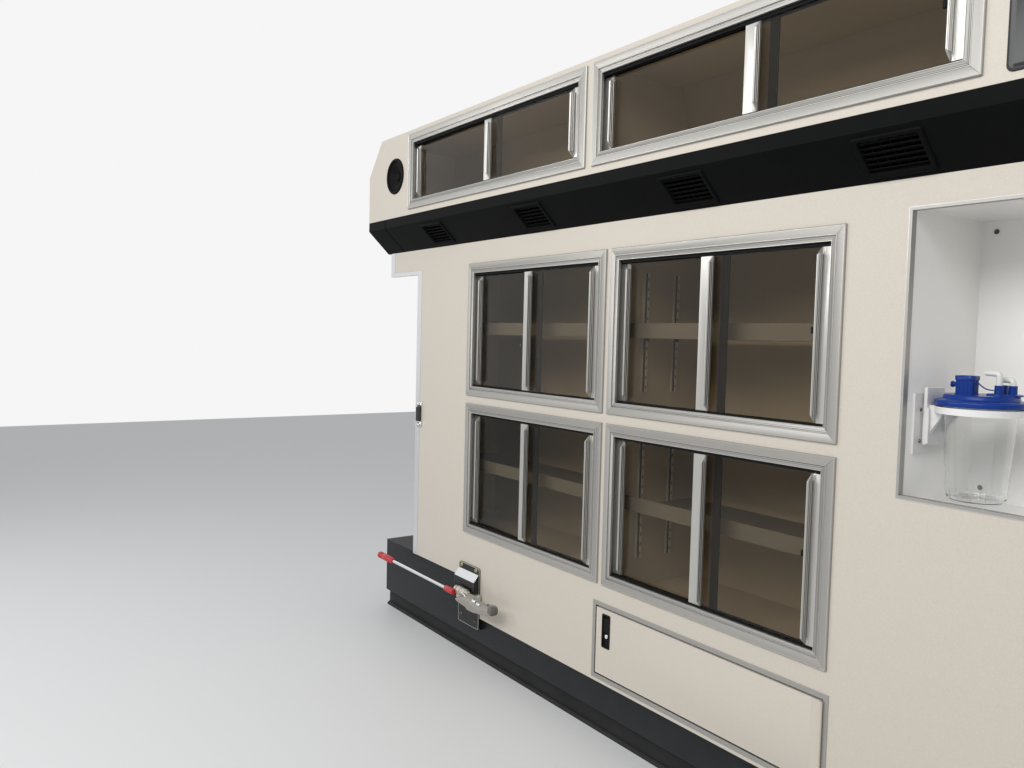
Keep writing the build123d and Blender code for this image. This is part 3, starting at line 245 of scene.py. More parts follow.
# What most finishes share, then what each has of its own; grain scales are cycles per metre,
# bump is in millimetres, worn is the colour of rubbed edges, dustTop the height that dust reaches
usualLook = {
    "patchAmount": 0.5, "stretch": (1, 1, 1), "grainScale": 900.0, "spread": 0.1, "bump": 0.02,
    "metal": 0.0, "specular": 0.5, "wear": 0.2, "dust": 0.06,
}
finishes = {
    "wallLaminate": {
        "color": (0.60, 0.545, 0.47), "patch": (0.55, 0.50, 0.43), "patchScale": 2.0,
        "patchAmount": 0.25, "grainScale": 420.0, "grainAmount": 0.24, "rough": 0.46, "spread": 0.08,
        "bump": 0.12, "worn": (0.65, 0.61, 0.55), "wear": 0.15, "dust": 0.14, "dustTop": 0.9,
    },
    "boardLaminate": {
        "color": (0.62, 0.57, 0.49), "patch": (0.54, 0.49, 0.42), "patchScale": 4.0, "patchAmount": 0.3,
        "grainScale": 300.0, "grainAmount": 0.10, "rough": 0.5, "spread": 0.08, "bump": 0.05,
        "worn": (0.55, 0.50, 0.42), "dust": 0.1, "dustTop": 2.0,
    },
    "railWood": {
        "color": (0.42, 0.32, 0.22), "patch": (0.30, 0.22, 0.14), "patchScale": 8.0, "patchAmount": 0.6,
        "stretch": (1.0, 14.0, 14.0), "grainScale": 22.0, "grainAmount": 0.5, "rough": 0.62, "bump": 0.2,
        "worn": (0.5, 0.4, 0.3), "wear": 0.3, "dust": 0.25, "dustTop": 0.2,
    },
    "satinAluminium": {
        "color": (0.385, 0.375, 0.35), "patch": (0.33, 0.32, 0.30), "patchScale": 5.0,
        "patchAmount": 0.25, "grainAmount": 0.12, "rough": 0.42, "spread": 0.08, "metal": 0.7,
        "worn": (0.60, 0.59, 0.57), "wear": 0.35, "dustTop": 1.2,
    },
    "pullAluminium": {
        "color": (0.53, 0.52, 0.49), "patch": (0.46, 0.45, 0.43), "patchScale": 9.0, "patchAmount": 0.25,
        "grainScale": 1100.0, "grainAmount": 0.08, "rough": 0.34, "spread": 0.06, "bump": 0.01,
        "metal": 0.75, "worn": (0.72, 0.71, 0.69), "wear": 0.35, "dust": 0.04, "dustTop": 1.2,
    },
    "slottedSteel": {
        "color": (0.86, 0.84, 0.79), "patch": (0.80, 0.78, 0.73), "patchScale": 12.0,
        "patchAmount": 0.25, "grainAmount": 0.06, "rough": 0.4, "spread": 0.06,
        "worn": (0.88, 0.87, 0.84), "dust": 0.04, "dustTop": 1.8,
    },
    # painted highlight: a brighter, glossier copy of the standards' steel for the shine along their bright
    # strips
    "highlightSteel": {
        "color": (0.93, 0.91, 0.86), "patch": (0.88, 0.86, 0.81), "patchScale": 12.0, "patchAmount": 0.2,
        "grainAmount": 0.04, "rough": 0.3, "spread": 0.05, "bump": 0.01, "specular": 0.8,
        "worn": (0.94, 0.93, 0.9), "dust": 0.02, "dustTop": 1.8,
    },
    "whiteTrim": {
        "color": (0.66, 0.67, 0.68), "patch": (0.58, 0.60, 0.62), "patchScale": 6.0, "patchAmount": 0.3,
        "grainScale": 700.0, "grainAmount": 0.05, "rough": 0.30, "spread": 0.06, "metal": 0.45,
        "worn": (0.8, 0.8, 0.8), "dustTop": 1.0,
    },
    "blackTrack": {
        "color": (0.006, 0.006, 0.0065), "patch": (0.014, 0.014, 0.014), "patchScale": 30.0,
        "patchAmount": 0.4, "grainScale": 1500.0, "grainAmount": 0.5, "rough": 0.7, "bump": 0.2,
        "specular": 0.12, "worn": (0.03, 0.03, 0.03), "dust": 0.01, "dustTop": 2.0,
    },
    "ductBlack": {
        "color": (0.003, 0.0035, 0.0038), "patch": (0.006, 0.006, 0.006), "patchScale": 4.0,
        "grainScale": 1200.0, "grainAmount": 0.25, "rough": 0.42, "spread": 0.08, "specular": 0.03,
        "worn": (0.025, 0.025, 0.025), "dust": 0.012, "dustTop": 3.0,
    },
    "kickSteel": {
        "color": (0.009, 0.012, 0.015), "patch": (0.006, 0.008, 0.010), "patchScale": 3.0,
        "stretch": (0.03, 1.0, 1.0), "grainScale": 1400.0, "grainAmount": 0.35, "rough": 0.32,
        "spread": 0.12, "metal": 0.2, "specular": 0.22, "worn": (0.12, 0.14, 0.16), "wear": 0.35,
        "dustTop": 0.25,
    },
    "toeVinyl": {
        "color": (0.006, 0.007, 0.008), "patch": (0.012, 0.012, 0.013), "patchScale": 10.0,
        "grainScale": 500.0, "grainAmount": 0.4, "rough": 0.55, "bump": 0.1, "specular": 0.15,
        "worn": (0.04, 0.04, 0.04), "wear": 0.3, "dustTop": 0.1,
    },
    "wheelSkin": {
        "color": (0.008, 0.008, 0.009), "patch": (0.014, 0.014, 0.015), "patchScale": 8.0,
        "patchAmount": 0.4, "grainScale": 260.0, "grainAmount": 0.4, "rough": 0.5, "bump": 0.25,
        "specular": 0.15, "worn": (0.05, 0.05, 0.05), "wear": 0.3, "dust": 0.05, "dustTop": 0.4,
    },
    "linerWhite": {
        "color": (0.88, 0.865, 0.83), "patch": (0.84, 0.825, 0.79), "patchScale": 4.0,
        "patchAmount": 0.25, "grainScale": 350.0, "grainAmount": 0.05, "rough": 0.3, "spread": 0.06,
        "bump": 0.04, "worn": (0.88, 0.87, 0.85), "wear": 0.1, "dust": 0.03, "dustTop": 1.5,
    },
    "bracketWhite": {
        "color": (0.80, 0.79, 0.77), "patch": (0.74, 0.73, 0.71), "patchScale": 20.0,
        "patchAmount": 0.25, "grainAmount": 0.04, "rough": 0.35, "spread": 0.06, "bump": 0.03,
        "worn": (0.85, 0.85, 0.84), "dustTop": 1.6,
    },
    "bluePlastic": {
        "color": (0.004, 0.036, 0.24), "patch": (0.003, 0.028, 0.19), "patchScale": 25.0,
        "patchAmount": 0.4, "grainScale": 1300.0, "grainAmount": 0.06, "rough": 0.24, "spread": 0.06,
        "bump": 0.01, "specular": 0.22, "worn": (0.02, 0.08, 0.32), "wear": 0.3, "dust": 0.01,
        "dustTop": 1.6,
    },
    "milkPlastic": {
        "color": (0.72, 0.72, 0.69), "patch": (0.66, 0.66, 0.63), "patchScale": 40.0, "patchAmount": 0.4,
        "grainAmount": 0.05, "rough": 0.3, "spread": 0.06, "bump": 0.01, "worn": (0.8, 0.8, 0.78),
        "dust": 0.02, "dustTop": 1.6,
    },
    "speakerBlack": {
        "color": (0.003, 0.003, 0.003), "patch": (0.006, 0.006, 0.006), "patchScale": 30.0,
        "patchAmount": 0.4, "grainScale": 1100.0, "grainAmount": 0.3, "rough": 0.5, "bump": 0.05,
        "specular": 0.05, "worn": (0.03, 0.03, 0.03), "wear": 0.3, "dust": 0.01, "dustTop": 3.0,
    },
    "panelDark": {
        "color": (0.010, 0.011, 0.013), "patch": (0.016, 0.016, 0.018), "patchScale": 6.0,
        "patchAmount": 0.4, "grainAmount": 0.2, "rough": 0.26, "spread": 0.06, "specular": 0.3,
        "worn": (0.05, 0.05, 0.05), "dust": 0.04, "dustTop": 3.0,
    },
    # the bright worn edges are partly wear and partly a painted highlight on the plate's chamfered edges
    "plateSteel": {
        "color": (0.035, 0.036, 0.036), "patch": (0.02, 0.021, 0.021), "patchScale": 18.0,
        "patchAmount": 0.6, "grainScale": 700.0, "grainAmount": 0.25, "rough": 0.25, "spread": 0.12,
        "metal": 0.8, "worn": (0.40, 0.40, 0.39), "wear": 0.9, "dust": 0.04, "dustTop": 0.5,
    },
    "zincYellow": {
        "color": (0.46, 0.40, 0.22), "patch": (0.36, 0.31, 0.17), "patchScale": 60.0,
        "grainScale": 1200.0, "grainAmount": 0.1, "rough": 0.26, "spread": 0.08, "bump": 0.01,
        "metal": 0.85, "worn": (0.62, 0.58, 0.42), "wear": 0.5, "dust": 0.04, "dustTop": 0.5,
    },
    "brightChrome": {
        "color": (0.78, 0.79, 0.80), "patch": (0.70, 0.71, 0.72), "patchScale": 20.0,
        "patchAmount": 0.25, "grainScale": 1600.0, "grainAmount": 0.06, "rough": 0.12, "spread": 0.06,
        "bump": 0.01, "metal": 1.0, "worn": (0.85, 0.85, 0.85), "dust": 0.04, "dustTop": 0.6,
    },
    "castArm": {
        "color": (0.33, 0.31, 0.28), "patch": (0.25, 0.235, 0.21), "patchScale": 30.0,
        "grainScale": 420.0, "grainAmount": 0.2, "rough": 0.42, "bump": 0.2, "metal": 0.25,
        "worn": (0.55, 0.53, 0.49), "wear": 0.6, "dust": 0.08, "dustTop": 0.5,
    },
    "brassCasting": {
        "color": (0.62, 0.60, 0.54), "patch": (0.48, 0.45, 0.38), "patchScale": 60.0, "patchAmount": 0.6,
        "grainScale": 600.0, "grainAmount": 0.15, "rough": 0.24, "bump": 0.08, "metal": 0.7,
        "worn": (0.78, 0.75, 0.67), "wear": 0.8, "dustTop": 0.5,
    },
    # dark grey for the arm's end block, painted shade and wear on its end face, and for the rubber pad
    "shadedEndAndPadGrey": {
        "color": (0.13, 0.122, 0.11), "patch": (0.09, 0.085, 0.076), "patchScale": 60.0,
        "grainScale": 700.0, "grainAmount": 0.3, "rough": 0.6, "bump": 0.1, "worn": (0.16, 0.15, 0.14),
        "wear": 0.5, "dust": 0.08, "dustTop": 0.5,
    },
    "redGrip": {
        "color": (0.50, 0.014, 0.022), "patch": (0.38, 0.010, 0.016), "patchScale": 35.0,
        "patchAmount": 0.4, "grainAmount": 0.12, "rough": 0.30, "spread": 0.08, "bump": 0.05,
        "worn": (0.62, 0.10, 0.10), "wear": 0.4, "dust": 0.05, "dustTop": 0.5,
    },
    "strapRubber": {
        "color": (0.015, 0.015, 0.015), "patch": (0.03, 0.03, 0.03), "patchScale": 40.0,
        "grainScale": 800.0, "grainAmount": 0.3, "rough": 0.6, "bump": 0.1, "worn": (0.08, 0.08, 0.08),
        "wear": 0.4, "dust": 0.08, "dustTop": 1.0,
    },
    "shelfPaint": {
        "color": (0.20, 0.195, 0.18), "patch": (0.165, 0.16, 0.145), "patchScale": 7.0,
        "patchAmount": 0.3, "grainScale": 800.0, "grainAmount": 0.10, "rough": 0.4, "spread": 0.06,
        "bump": 0.03, "worn": (0.32, 0.31, 0.29), "wear": 0.4, "dust": 0.08, "dustTop": 2.0,
    },
    # painted shade: near-black for the standards' slots and channels, the hollows between pull ridges and the
    # frames' grooves, where shade falls
    "recessShade": {
        "color": (0.02, 0.02, 0.02), "patch": (0.04, 0.04, 0.04), "patchScale": 40.0,
        "grainScale": 1000.0, "grainAmount": 0.3, "rough": 0.7, "bump": 0.05, "worn": (0.1, 0.1, 0.1),
        "wear": 0.1, "dust": 0.05, "dustTop": 2.0,
    },
}


def opaque(color):
    return (*color, 1.0)


def makeFinish(name, look):
    material, shader = newMaterial(name)
    tree = material.node_tree
    place = tree.nodes.new("ShaderNodeTexCoord")
    grain = addNode(
        tree, "ShaderNodeGroup", {"node_tree": surfaceGroup},
        Stretch=look["stretch"], Color=opaque(look["color"]),
        Patch_Color=opaque(look["patch"]), Patch_Scale=look["patchScale"], Patch_Amount=look["patchAmount"],
        Grain_Scale=look["grainScale"], Grain_Amount=look["grainAmount"],
        Roughness=look["rough"], Roughness_Spread=look["spread"],
    )
    worn = addNode(
        tree, "ShaderNodeGroup", {"node_tree": wearGroup},
        Worn_Color=opaque(look["worn"]), Worn_Roughness=look["rough"] * groupForm["wornRoughness"],
        Amount=look["wear"],
    )
    dusty = addNode(
        tree, "ShaderNodeGroup", {"node_tree": dustGroup},
        Amount=look["dust"], Top=look["dustTop"],
    )
    bump = addNode(tree, "ShaderNodeBump", Strength=groupForm["bumpStrength"], Distance=look["bump"] / 1000)
    link(
        tree,
        (place.outputs["Object"], grain.inputs["Vector"]),
        (place.outputs["Object"], worn.inputs["Vector"]),
        (place.outputs["Object"], dusty.inputs["Vector"]),
        (grain.outputs["Color"], worn.inputs["Color"]),
        (grain.outputs["Roughness"], worn.inputs["Roughness"]),
        (worn.outputs["Color"], dusty.inputs["Color"]),
        (worn.outputs["Roughness"], dusty.inputs["Roughness"]),
        (dusty.outputs["Color"], shader.inputs["Base Color"]),
        (dusty.outputs["Roughness"], shader.inputs["Roughness"]),
        (grain.outputs["Height"], bump.inputs["Height"]),
        (bump.outputs["Normal"], shader.inputs["Normal"]),
    )
    shader.inputs["Metallic"].default_value = look["metal"]
    shader.inputs["Specular IOR Level"].default_value = look["specular"]
    return material


def makeClearFinish(name, look):
    # light passes the sheet tinted, so that what lies behind it is lit
    material, shader = newMaterial(name)
    tree = material.node_tree
    place = tree.nodes.new("ShaderNodeTexCoord")
    grain = addNode(
        tree, "ShaderNodeGroup", {"node_tree": surfaceGroup},
        Color=opaque(look["color"]), Patch_Color=opaque(look["patch"]), Patch_Scale=look["patchScale"],
        Patch_Amount=look["patchAmount"], Grain_Scale=look["grainScale"], Grain_Amount=0.0,
        Roughness=look["rough"], Roughness_Spread=look["spread"],
    )
    if look["bump"] > 0:
        strength = groupForm["clearBumpStrength"]
        bump = addNode(tree, "ShaderNodeBump", Strength=strength, Distance=look["bump"] / 1000)
        link(tree, (grain.outputs["Height"], bump.inputs["Height"]))
        link(tree, (bump.outputs["Normal"], shader.inputs["Normal"]))
    through = addNode(tree, "ShaderNodeBsdfTransparent", Color=opaque(look["shade"]))
    path = tree.nodes.new("ShaderNodeLightPath")
    mixed = tree.nodes.new("ShaderNodeMixShader")
    either = mathNode(tree, "MAXIMUM", path.outputs["Is Shadow Ray"], path.outputs["Is Diffuse Ray"])
    link(
        tree,
        (place.outputs["Object"], grain.inputs["Vector"]),
        (grain.outputs["Color"], shader.inputs["Base Color"]),
        (grain.outputs["Roughness"], shader.inputs["Roughness"]),
        (either, mixed.inputs[0]),
        (shader.outputs[0], mixed.inputs[1]),
        (through.outputs[0], mixed.inputs[2]),
        (mixed.outputs[0], tree.nodes["Material Output"].inputs["Surface"]),
    )
    shader.inputs["Transmission Weight"].default_value = 1.0
    shader.inputs["IOR"].default_value = look["ior"]
    return material


clearFinishes = {
    "smokedAcrylic": {
        "color": (0.62, 0.56, 0.47), "patch": (0.60, 0.54, 0.45), "patchScale": 3.0, "patchAmount": 0.4,
        "grainScale": 6.0, "rough": 0.0, "spread": 0.0, "bump": 0.0, "shade": (0.80, 0.76, 0.69), "ior": 1.28,
    },
    "clearPlastic": {
        "color": (0.975, 0.98, 0.98), "patch": (0.94, 0.955, 0.96), "patchScale": 12.0, "patchAmount": 0.4,
        "grainScale": 200.0, "rough": 0.03, "spread": 0.03, "bump": 0.01, "shade": (0.92, 0.93, 0.94),
        "ior": 1.46,
    },
}
finish = {name: makeFinish(name, {**usualLook, **look}) for name, look in finishes.items()}
finish.update({name: makeClearFinish(name, look) for name, look in clearFinishes.items()})
print("finishes ready", len(finish))


# Mesh helpers

def addMesh(name, mesh, material, slot, body="wall", replaced=(), edge=0.0, smooth=35):
    # edge: width of the softened edges in millimetres; smooth: shading angle in degrees
    piece = addObject(name, mesh)
    mesh.materials.clear()
    mesh.materials.append(finish[material])
    if edge > 0:
        rounding = piece.modifiers.new("edge", "BEVEL")
        rounding.width = edge / 1000
        rounding.segments = 2
        rounding.limit_method = "ANGLE"
        rounding.angle_limit = math.radians(30)
        rounding.use_clamp_overlap = True
        rounding.harden_normals = True
    mesh.shade_smooth()
    mesh.set_sharp_from_angle(angle=math.radians(smooth))
    if replaced:
        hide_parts(*replaced)
    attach(piece, body)


def addPiece(name, shape, material, slot, **options):
    # welds a drawn shape, turns its faces outwards and adds it
    bmesh.ops.remove_doubles(shape, verts=shape.verts, dist=1e-6)
    bmesh.ops.recalc_face_normals(shape, faces=shape.faces)
    mesh = bpy.data.meshes.new(name)
    shape.to_mesh(mesh)
    shape.free()
    addMesh(name, mesh, material, slot, **options)


def dressNode(node, material, edge):
    # a merged copy of the CAD node with softened edges stands in for it
    shape = bmesh.new()
    shape.from_mesh(cadNodes[node].data)
    bmesh.ops.remove_doubles(shape, verts=shape.verts, dist=2e-6)
    bmesh.ops.dissolve_limit(shape, angle_limit=math.radians(0.6), verts=shape.verts, edges=shape.edges)
    mesh = bpy.data.meshes.new(node + "_dressed")
    shape.to_mesh(mesh)
    shape.free()
    slot = next(s["material_slot"] for s in frame["record"]["subparts"] if s["node"] == node)
    addMesh(node + "_dressed", mesh, material, slot, body=bodyOf[node], replaced=(node,), edge=edge)


# Loops lie in a piece's own plane, in millimetres: radius or sides, then the level above the plane

def circleLoops(profile, count, centre=(0.0, 0.0)):
    x, y = centre
    turns = [2 * math.pi * i / count for i in range(count)]
    return [
        [Vector((x + radius * math.cos(a), y + radius * math.sin(a), level)) / 1000 for a in turns]
        for radius, level in profile
    ]


def roundedLoop(width, height, radius, level, centre=(0.0, 0.0)):
    points = []
    steps = 6
    for side, (sx, sy) in enumerate(((1, 1), (-1, 1), (-1, -1), (1, -1))):
        x = centre[0] + sx * (width / 2 - radius)
        y = centre[1] + sy * (height / 2 - radius)
        for step in range(steps + 1):
            angle = math.pi / 2 * (side + step / steps)
            points.append(Vector((x + radius * math.cos(angle), y + radius * math.sin(angle), level)) / 1000)
    return points


def roundedLoops(width, height, layers, centre=(0.0, 0.0)):
    # each layer: how much narrower, how much lower, corner radius, level
    return [
        roundedLoop(width - narrower, height - lower, radius, level, centre)
        for narrower, lower, radius, level in layers
    ]


def squareLoops(width, height, layers):
    # each layer: how much larger both ways, level
    corners = ((1, 1), (-1, 1), (-1, -1), (1, -1))
    return [
        [Vector((sx * (width + grow) / 2, sy * (height + grow) / 2, level)) / 1000 for sx, sy in corners]
        for grow, level in layers
    ]


def stackRings(shape, rings, closeStart=True, closeEnd=True):
    # joins rings of equal count into one skin
    made = [[shape.verts.new(point) for point in ring] for ring in rings]
    count = len(made[0])
    for lower, upper in zip(made, made[1:]):
        for i in range(count):
            j = (i + 1) % count
            shape.faces.new((lower[i], lower[j], upper[j], upper[i]))
    if closeStart:
        shape.faces.new(list(reversed(made[0])))
    if closeEnd:
        shape.faces.new(made[-1])


def stackLoops(shape, loops, place, closeStart=True, closeEnd=True):
    stackRings(shape, [[place @ point for point in loop] for loop in loops], closeStart, closeEnd)


def tubeAlong(shape, points, radii, count):
    # a round tube through a list of points, turned with its path; radii is one size or a list
    rings = []
    side = None
    for i, point in enumerate(points):
        ahead = points[min(i + 1, len(points) - 1)] - points[max(i - 1, 0)]
        ahead.normalize()
        if side is None:
            side = ahead.orthogonal().normalized()
        side = (side - ahead * side.dot(ahead)).normalized()
        up = ahead.cross(side)
        size = radii[i] if isinstance(radii, list) else radii
        rings.append([
            point + (side * math.cos(a) + up * math.sin(a)) * size / 1000
            for a in (2 * math.pi * k / count for k in range(count))
        ])
    stackRings(shape, rings)


def spotOn(place, x, y, z):
    return place @ (Vector((x, y, z)) / 1000)


# Geometry Nodes trees for what repeats

def newNodesTree(name, inputs):
    tree = bpy.data.node_groups.new(name, "GeometryNodeTree")
    tree.interface.new_socket(name="Geometry", in_out="INPUT", socket_type="NodeSocketGeometry")
    kinds = {
        "length": "NodeSocketFloat", "count": "NodeSocketInt",
        "material": "NodeSocketMaterial", "vector": "NodeSocketVector",
    }
    for label, kind, default in inputs:
        socket = tree.interface.new_socket(name=label, in_out="INPUT", socket_type=kinds[kind])
        if default is not None:
            socket.default_value = default
    tree.interface.new_socket(name="Geometry", in_out="OUTPUT", socket_type="NodeSocketGeometry")
    return tree, tree.nodes.new("NodeGroupInput"), tree.nodes.new("NodeGroupOutput")


def placeOnPoints(tree, start, end, made, rotation):
    # puts the made mesh on every point, paints it and hands it out
    placed = tree.nodes.new("GeometryNodeInstanceOnPoints")
    real = tree.nodes.new("GeometryNodeRealizeInstances")
    painted = tree.nodes.new("GeometryNodeSetMaterial")
    link(
        tree,
        (start.outputs["Geometry"], placed.inputs["Points"]),
        (made, placed.inputs["Instance"]),
        (rotation, placed.inputs["Rotation"]),
        (placed.outputs[0], real.inputs[0]),
        (real.outputs[0], painted.inputs["Geometry"]),
        (start.outputs["Material"], painted.inputs["Material"]),
        (painted.outputs[0], end.inputs[0]),
    )


# Shares of the head's radius and height, its sides, and the largest turn of a recess in radians
screwForm = {
    "crown": 0.72, "slotLong": 1.05, "slotWide": 0.26, "slotDeep": 1.2, "sides": 18, "turn": 1.57, "seed": 7,
}


def makeScrewTree():
    # a low tapered head with a cross recess on every point, each turned its own way
    tree, start, end = newNodesTree("screwHeads", (
        ("Head Radius", "length", 0.004), ("Head Height", "length", 0.002), ("Facing", "vector", (0, -1, 0)),
        ("Seed", "count", 7), ("Material", "material", None),
    ))
    radius, height = start.outputs["Head Radius"], start.outputs["Head Height"]
    head = addNode(tree, "GeometryNodeMeshCone", Vertices=screwForm["sides"], Side_Segments=1)
    crown = mathNode(tree, "MULTIPLY", radius, screwForm["crown"])
    link(tree, (radius, head.inputs["Radius Bottom"]), (crown, head.inputs["Radius Top"]))
    link(tree, (height, head.inputs["Depth"]))
    slotLong = mathNode(tree, "MULTIPLY", radius, screwForm["slotLong"])
    slotWide = mathNode(tree, "MULTIPLY", radius, screwForm["slotWide"])
    slotDeep = mathNode(tree, "MULTIPLY", height, screwForm["slotDeep"])
    cut = addNode(tree, "GeometryNodeMeshBoolean", {"operation": "DIFFERENCE", "solver": "EXACT"})
    link(tree, (head.outputs["Mesh"], cut.inputs["Mesh 1"]))
    for longAxis in (0, 1):
        size = tree.nodes.new("ShaderNodeCombineXYZ")
        cube = tree.nodes.new("GeometryNodeMeshCube")
        lift = tree.nodes.new("ShaderNodeCombineXYZ")
        moved = tree.nodes.new("GeometryNodeTransform")
        link(
            tree,
            (slotLong, size.inputs[longAxis]),
            (slotWide, size.inputs[1 - longAxis]),
            (slotDeep, size.inputs[2]),
            (size.outputs[0], cube.inputs["Size"]),
            (height, lift.inputs[2]),
            (lift.outputs[0], moved.inputs["Translation"]),
            (cube.outputs["Mesh"], moved.inputs["Geometry"]),
            (moved.outputs["Geometry"], cut.inputs["Mesh 2"]),
        )
    aim = addNode(tree, "FunctionNodeAlignRotationToVector", {"axis": "Z"})
    spin = addNode(tree, "FunctionNodeRandomValue", {"data_type": "FLOAT"})
    spin.inputs[2].default_value = 0.0
    spin.inputs[3].default_value = screwForm["turn"]
    turnVector = tree.nodes.new("ShaderNodeCombineXYZ")
    turn = tree.nodes.new("FunctionNodeEulerToRotation")
    joined = addNode(tree, "FunctionNodeRotateRotation", {"rotation_space": "LOCAL"})
    link(
        tree,
        (start.outputs["Facing"], aim.inputs["Vector"]),
        (start.outputs["Seed"], spin.inputs["Seed"]),
        (spin.outputs[1], turnVector.inputs[2]),
        (turnVector.outputs[0], turn.inputs[0]),
        (aim.outputs[0], joined.inputs[0]),
        (turn.outputs[0], joined.inputs[1]),
    )
    placeOnPoints(tree, start, end, cut.outputs["Mesh"], joined.outputs[0])
    return tree


def makeBarTree():
    # one bar on every point, all turned the same way
    tree, start, end = newNodesTree("ribBars", (
        ("Size", "vector", (0.01, 0.002, 0.002)), ("Turn", "vector", (0, 0, 0)),
        ("Material", "material", None),
    ))
    bar = tree.nodes.new("GeometryNodeMeshCube")
    turn = tree.nodes.new("FunctionNodeEulerToRotation")
    link(tree, (start.outputs["Size"], bar.inputs["Size"]), (start.outputs["Turn"], turn.inputs[0]))
    placeOnPoints(tree, start, end, bar.outputs["Mesh"], turn.outputs[0])
    return tree


screwTree = makeScrewTree()
barTree = makeBarTree()


def growOnPoints(name, points, tree, values, material, slot, **options):
    # runs a tree on a cloud of points and keeps the result as a plain mesh
    cloud = bpy.data.meshes.new(name + "Points")
    cloud.from_pydata([tuple(p) for p in points], [], [])
    holder = addObject(name + "Points", cloud)
    modifier = holder.modifiers.new("grow", "NODES")
    modifier.node_group = tree
    names = {item.name: item.identifier for item in tree.interface.items_tree if item.in_out == "INPUT"}
    for label, value in values.items():
        modifier[names[label]] = value
    modifier[names["Material"]] = finish[material]
    bpy.context.view_layer.update()
    ready = holder.evaluated_get(bpy.context.evaluated_depsgraph_get())
    mesh = bpy.data.meshes.new_from_object(ready)
    bpy.data.objects.remove(holder)
    addMesh(name, mesh, material, slot, **options)


def growBars(name, points, size, material, slot, lean=0.0, **options):
    # size in millimetres; lean turns the bars about the wall's length
    values = {"Size": tuple(v / 1000 for v in size), "Turn": (lean, 0.0, 0.0)}
    growOnPoints(name, points, barTree, values, material, slot, **options)


# Carried-over pieces, each with its own finish and the width of its softened edges

dressed = {
    "face_panel": ("wallLaminate", 0.6), "overhead_face": ("wallLaminate", 0.8),
    "end_board": ("wallLaminate", 1.0), "level_boards": ("boardLaminate", 0.4),
    "upright_boards": ("boardLaminate", 0.4), "back_panel": ("boardLaminate", 0.2),
    "base_rails": ("railWood", 0.5), "toe_skirting": ("toeVinyl", 0.5),
    "kick_plate": ("kickSteel", 0.3), "wheel_box": ("wheelSkin", 1.0), "edge_trims": ("whiteTrim", 0.3),
    "window_frames": ("satinAluminium", 0.4), "window_tracks": ("blackTrack", 0.2),
    "shelves": ("shelfPaint", 0.5), "shelf_standards": ("slottedSteel", 0.3),
    "niche_liner": ("linerWhite", 1.2), "canister_bracket": ("bracketWhite", 0.7),
    "locker_door_frame": ("satinAluminium", 0.4), "locker_door": ("wallLaminate", 0.6),
    "air_duct": ("ductBlack", 1.0),
}
for node, (material, edge) in dressed.items():
    dressNode(node, material, edge)
for node in cadNodes:
    if node.endswith("_pull"):
        dressNode(node, "pullAluminium", 0.35)
    elif node.endswith("_pane"):
        dressNode(node, "smokedAcrylic", 0.4)
print("carried-over pieces dressed")

# The overhead locker's face stands this far in front of the lower panel's face
overheadFace = -88.0

# The rear end boards of the overhead locker run on to the back sheet, which leans in towards the top
endClosure = {
    "front": 243.9, "roofLow": (343.8, 1587.0), "roofTop": (243.7, 1878.0), "gap": 0.4,
    "sections": (
        ((0, 1572.2), (15, 1572.2), (15, 1746.5), (0, 1751.9)),
        ((0.2, 1752.2), (15.2, 1746.8), (111.0, 1863.0), (111.0, 1877.8), (104.0, 1877.8)),
    ),
}


def makeEndClosure():
    shape = bmesh.new()
    (lowDepth, lowHeight), (topDepth, topHeight) = endClosure["roofLow"], endClosure["roofTop"]
    front = endClosure["front"]
    for section in endClosure["sections"]:
        near, far = [], []
        for x, z in section:
            climbed = (z - lowHeight) / (topHeight - lowHeight)
            roof = lowDepth + (topDepth - lowDepth) * climbed - endClosure["gap"]
            near.append(wallPoint(x, front, z))
            far.append(wallPoint(x, max(roof, front + 0.1), z))
        stackRings(shape, (near, far))
    addPiece("endClosure", shape, "boardLaminate", "cabinet_board")


makeEndClosure()

# Vents in the sloping face of the duct

vents = {
    "centres": (474.0, 1047.0, 1671.0, 2192.0), "depth": -44.0, "middle": 1496.5,
    "width": 144.0, "height": 99.0, "corner": 7.0, "proud": 5.0, "border": 12.0, "throat": 9.0,
    "overlap": 0.5,
    "slats": 6, "slatDeep": 9.0, "slatThick": 1.6, "slatLevel": -2.5, "tilt": 0.5,
    "ribs": 5, "ribThick": 1.4, "ribDeep": 4.0, "ribLevel": -6.0,
}
slopeUp = Vector((0, -88, 83)).normalized()


def makeVents():
    frames = bmesh.new()
    slats, ribs = [], []
    corner, proud, throat = vents["corner"], vents["proud"], vents["throat"]
    inset = 2 * vents["border"]
    wide, tall = vents["width"] - inset, vents["height"] - inset
    lip = inset - 3
    for centre in vents["centres"]:
        place = placeAt(centre, vents["depth"], vents["middle"], (1, 0, 0), slopeUp)
        stackLoops(frames, roundedLoops(vents["width"], vents["height"], (
            (0, 0, corner, 0.2), (1, 1, corner, proud * 0.55), (5, 5, corner - 2, proud * 0.95),
            (10, 10, corner - 3, proud), (lip, lip, 3.0, proud * 0.7), (inset, inset, 2.5, proud * 0.2),
            (inset, inset, 2.5, -throat), (lip, lip, 3.0, -throat), (lip, lip, 3.0, 0.2),
        )), place, False, False)
        for i in range(vents["slats"]):
            slats.append(spotOn(place, 0, (i + 0.5) * tall / vents["slats"] - tall / 2, vents["slatLevel"]))
        for i in range(vents["ribs"]):
            ribs.append(spotOn(place, (i + 1) * wide / (vents["ribs"] + 1) - wide / 2, 0, vents["ribLevel"]))
    addPiece("ventFrames", frames, "ductBlack", "duct_plastic", replaced=("duct_vents",))
    slope = math.atan2(slopeUp.z, slopeUp.y)
    slatSize = (wide + vents["overlap"], vents["slatDeep"], vents["slatThick"])
    ribSize = (vents["ribThick"], tall + vents["overlap"], vents["ribDeep"])
    growBars("ventSlats", slats, slatSize, "ductBlack", "duct_plastic", lean=slope + vents["tilt"], edge=0.3)
    growBars("ventRibs", ribs, ribSize, "ductBlack", "duct_plastic", lean=slope)


makeVents()
print("vents made")

# Round speaker in the overhead face

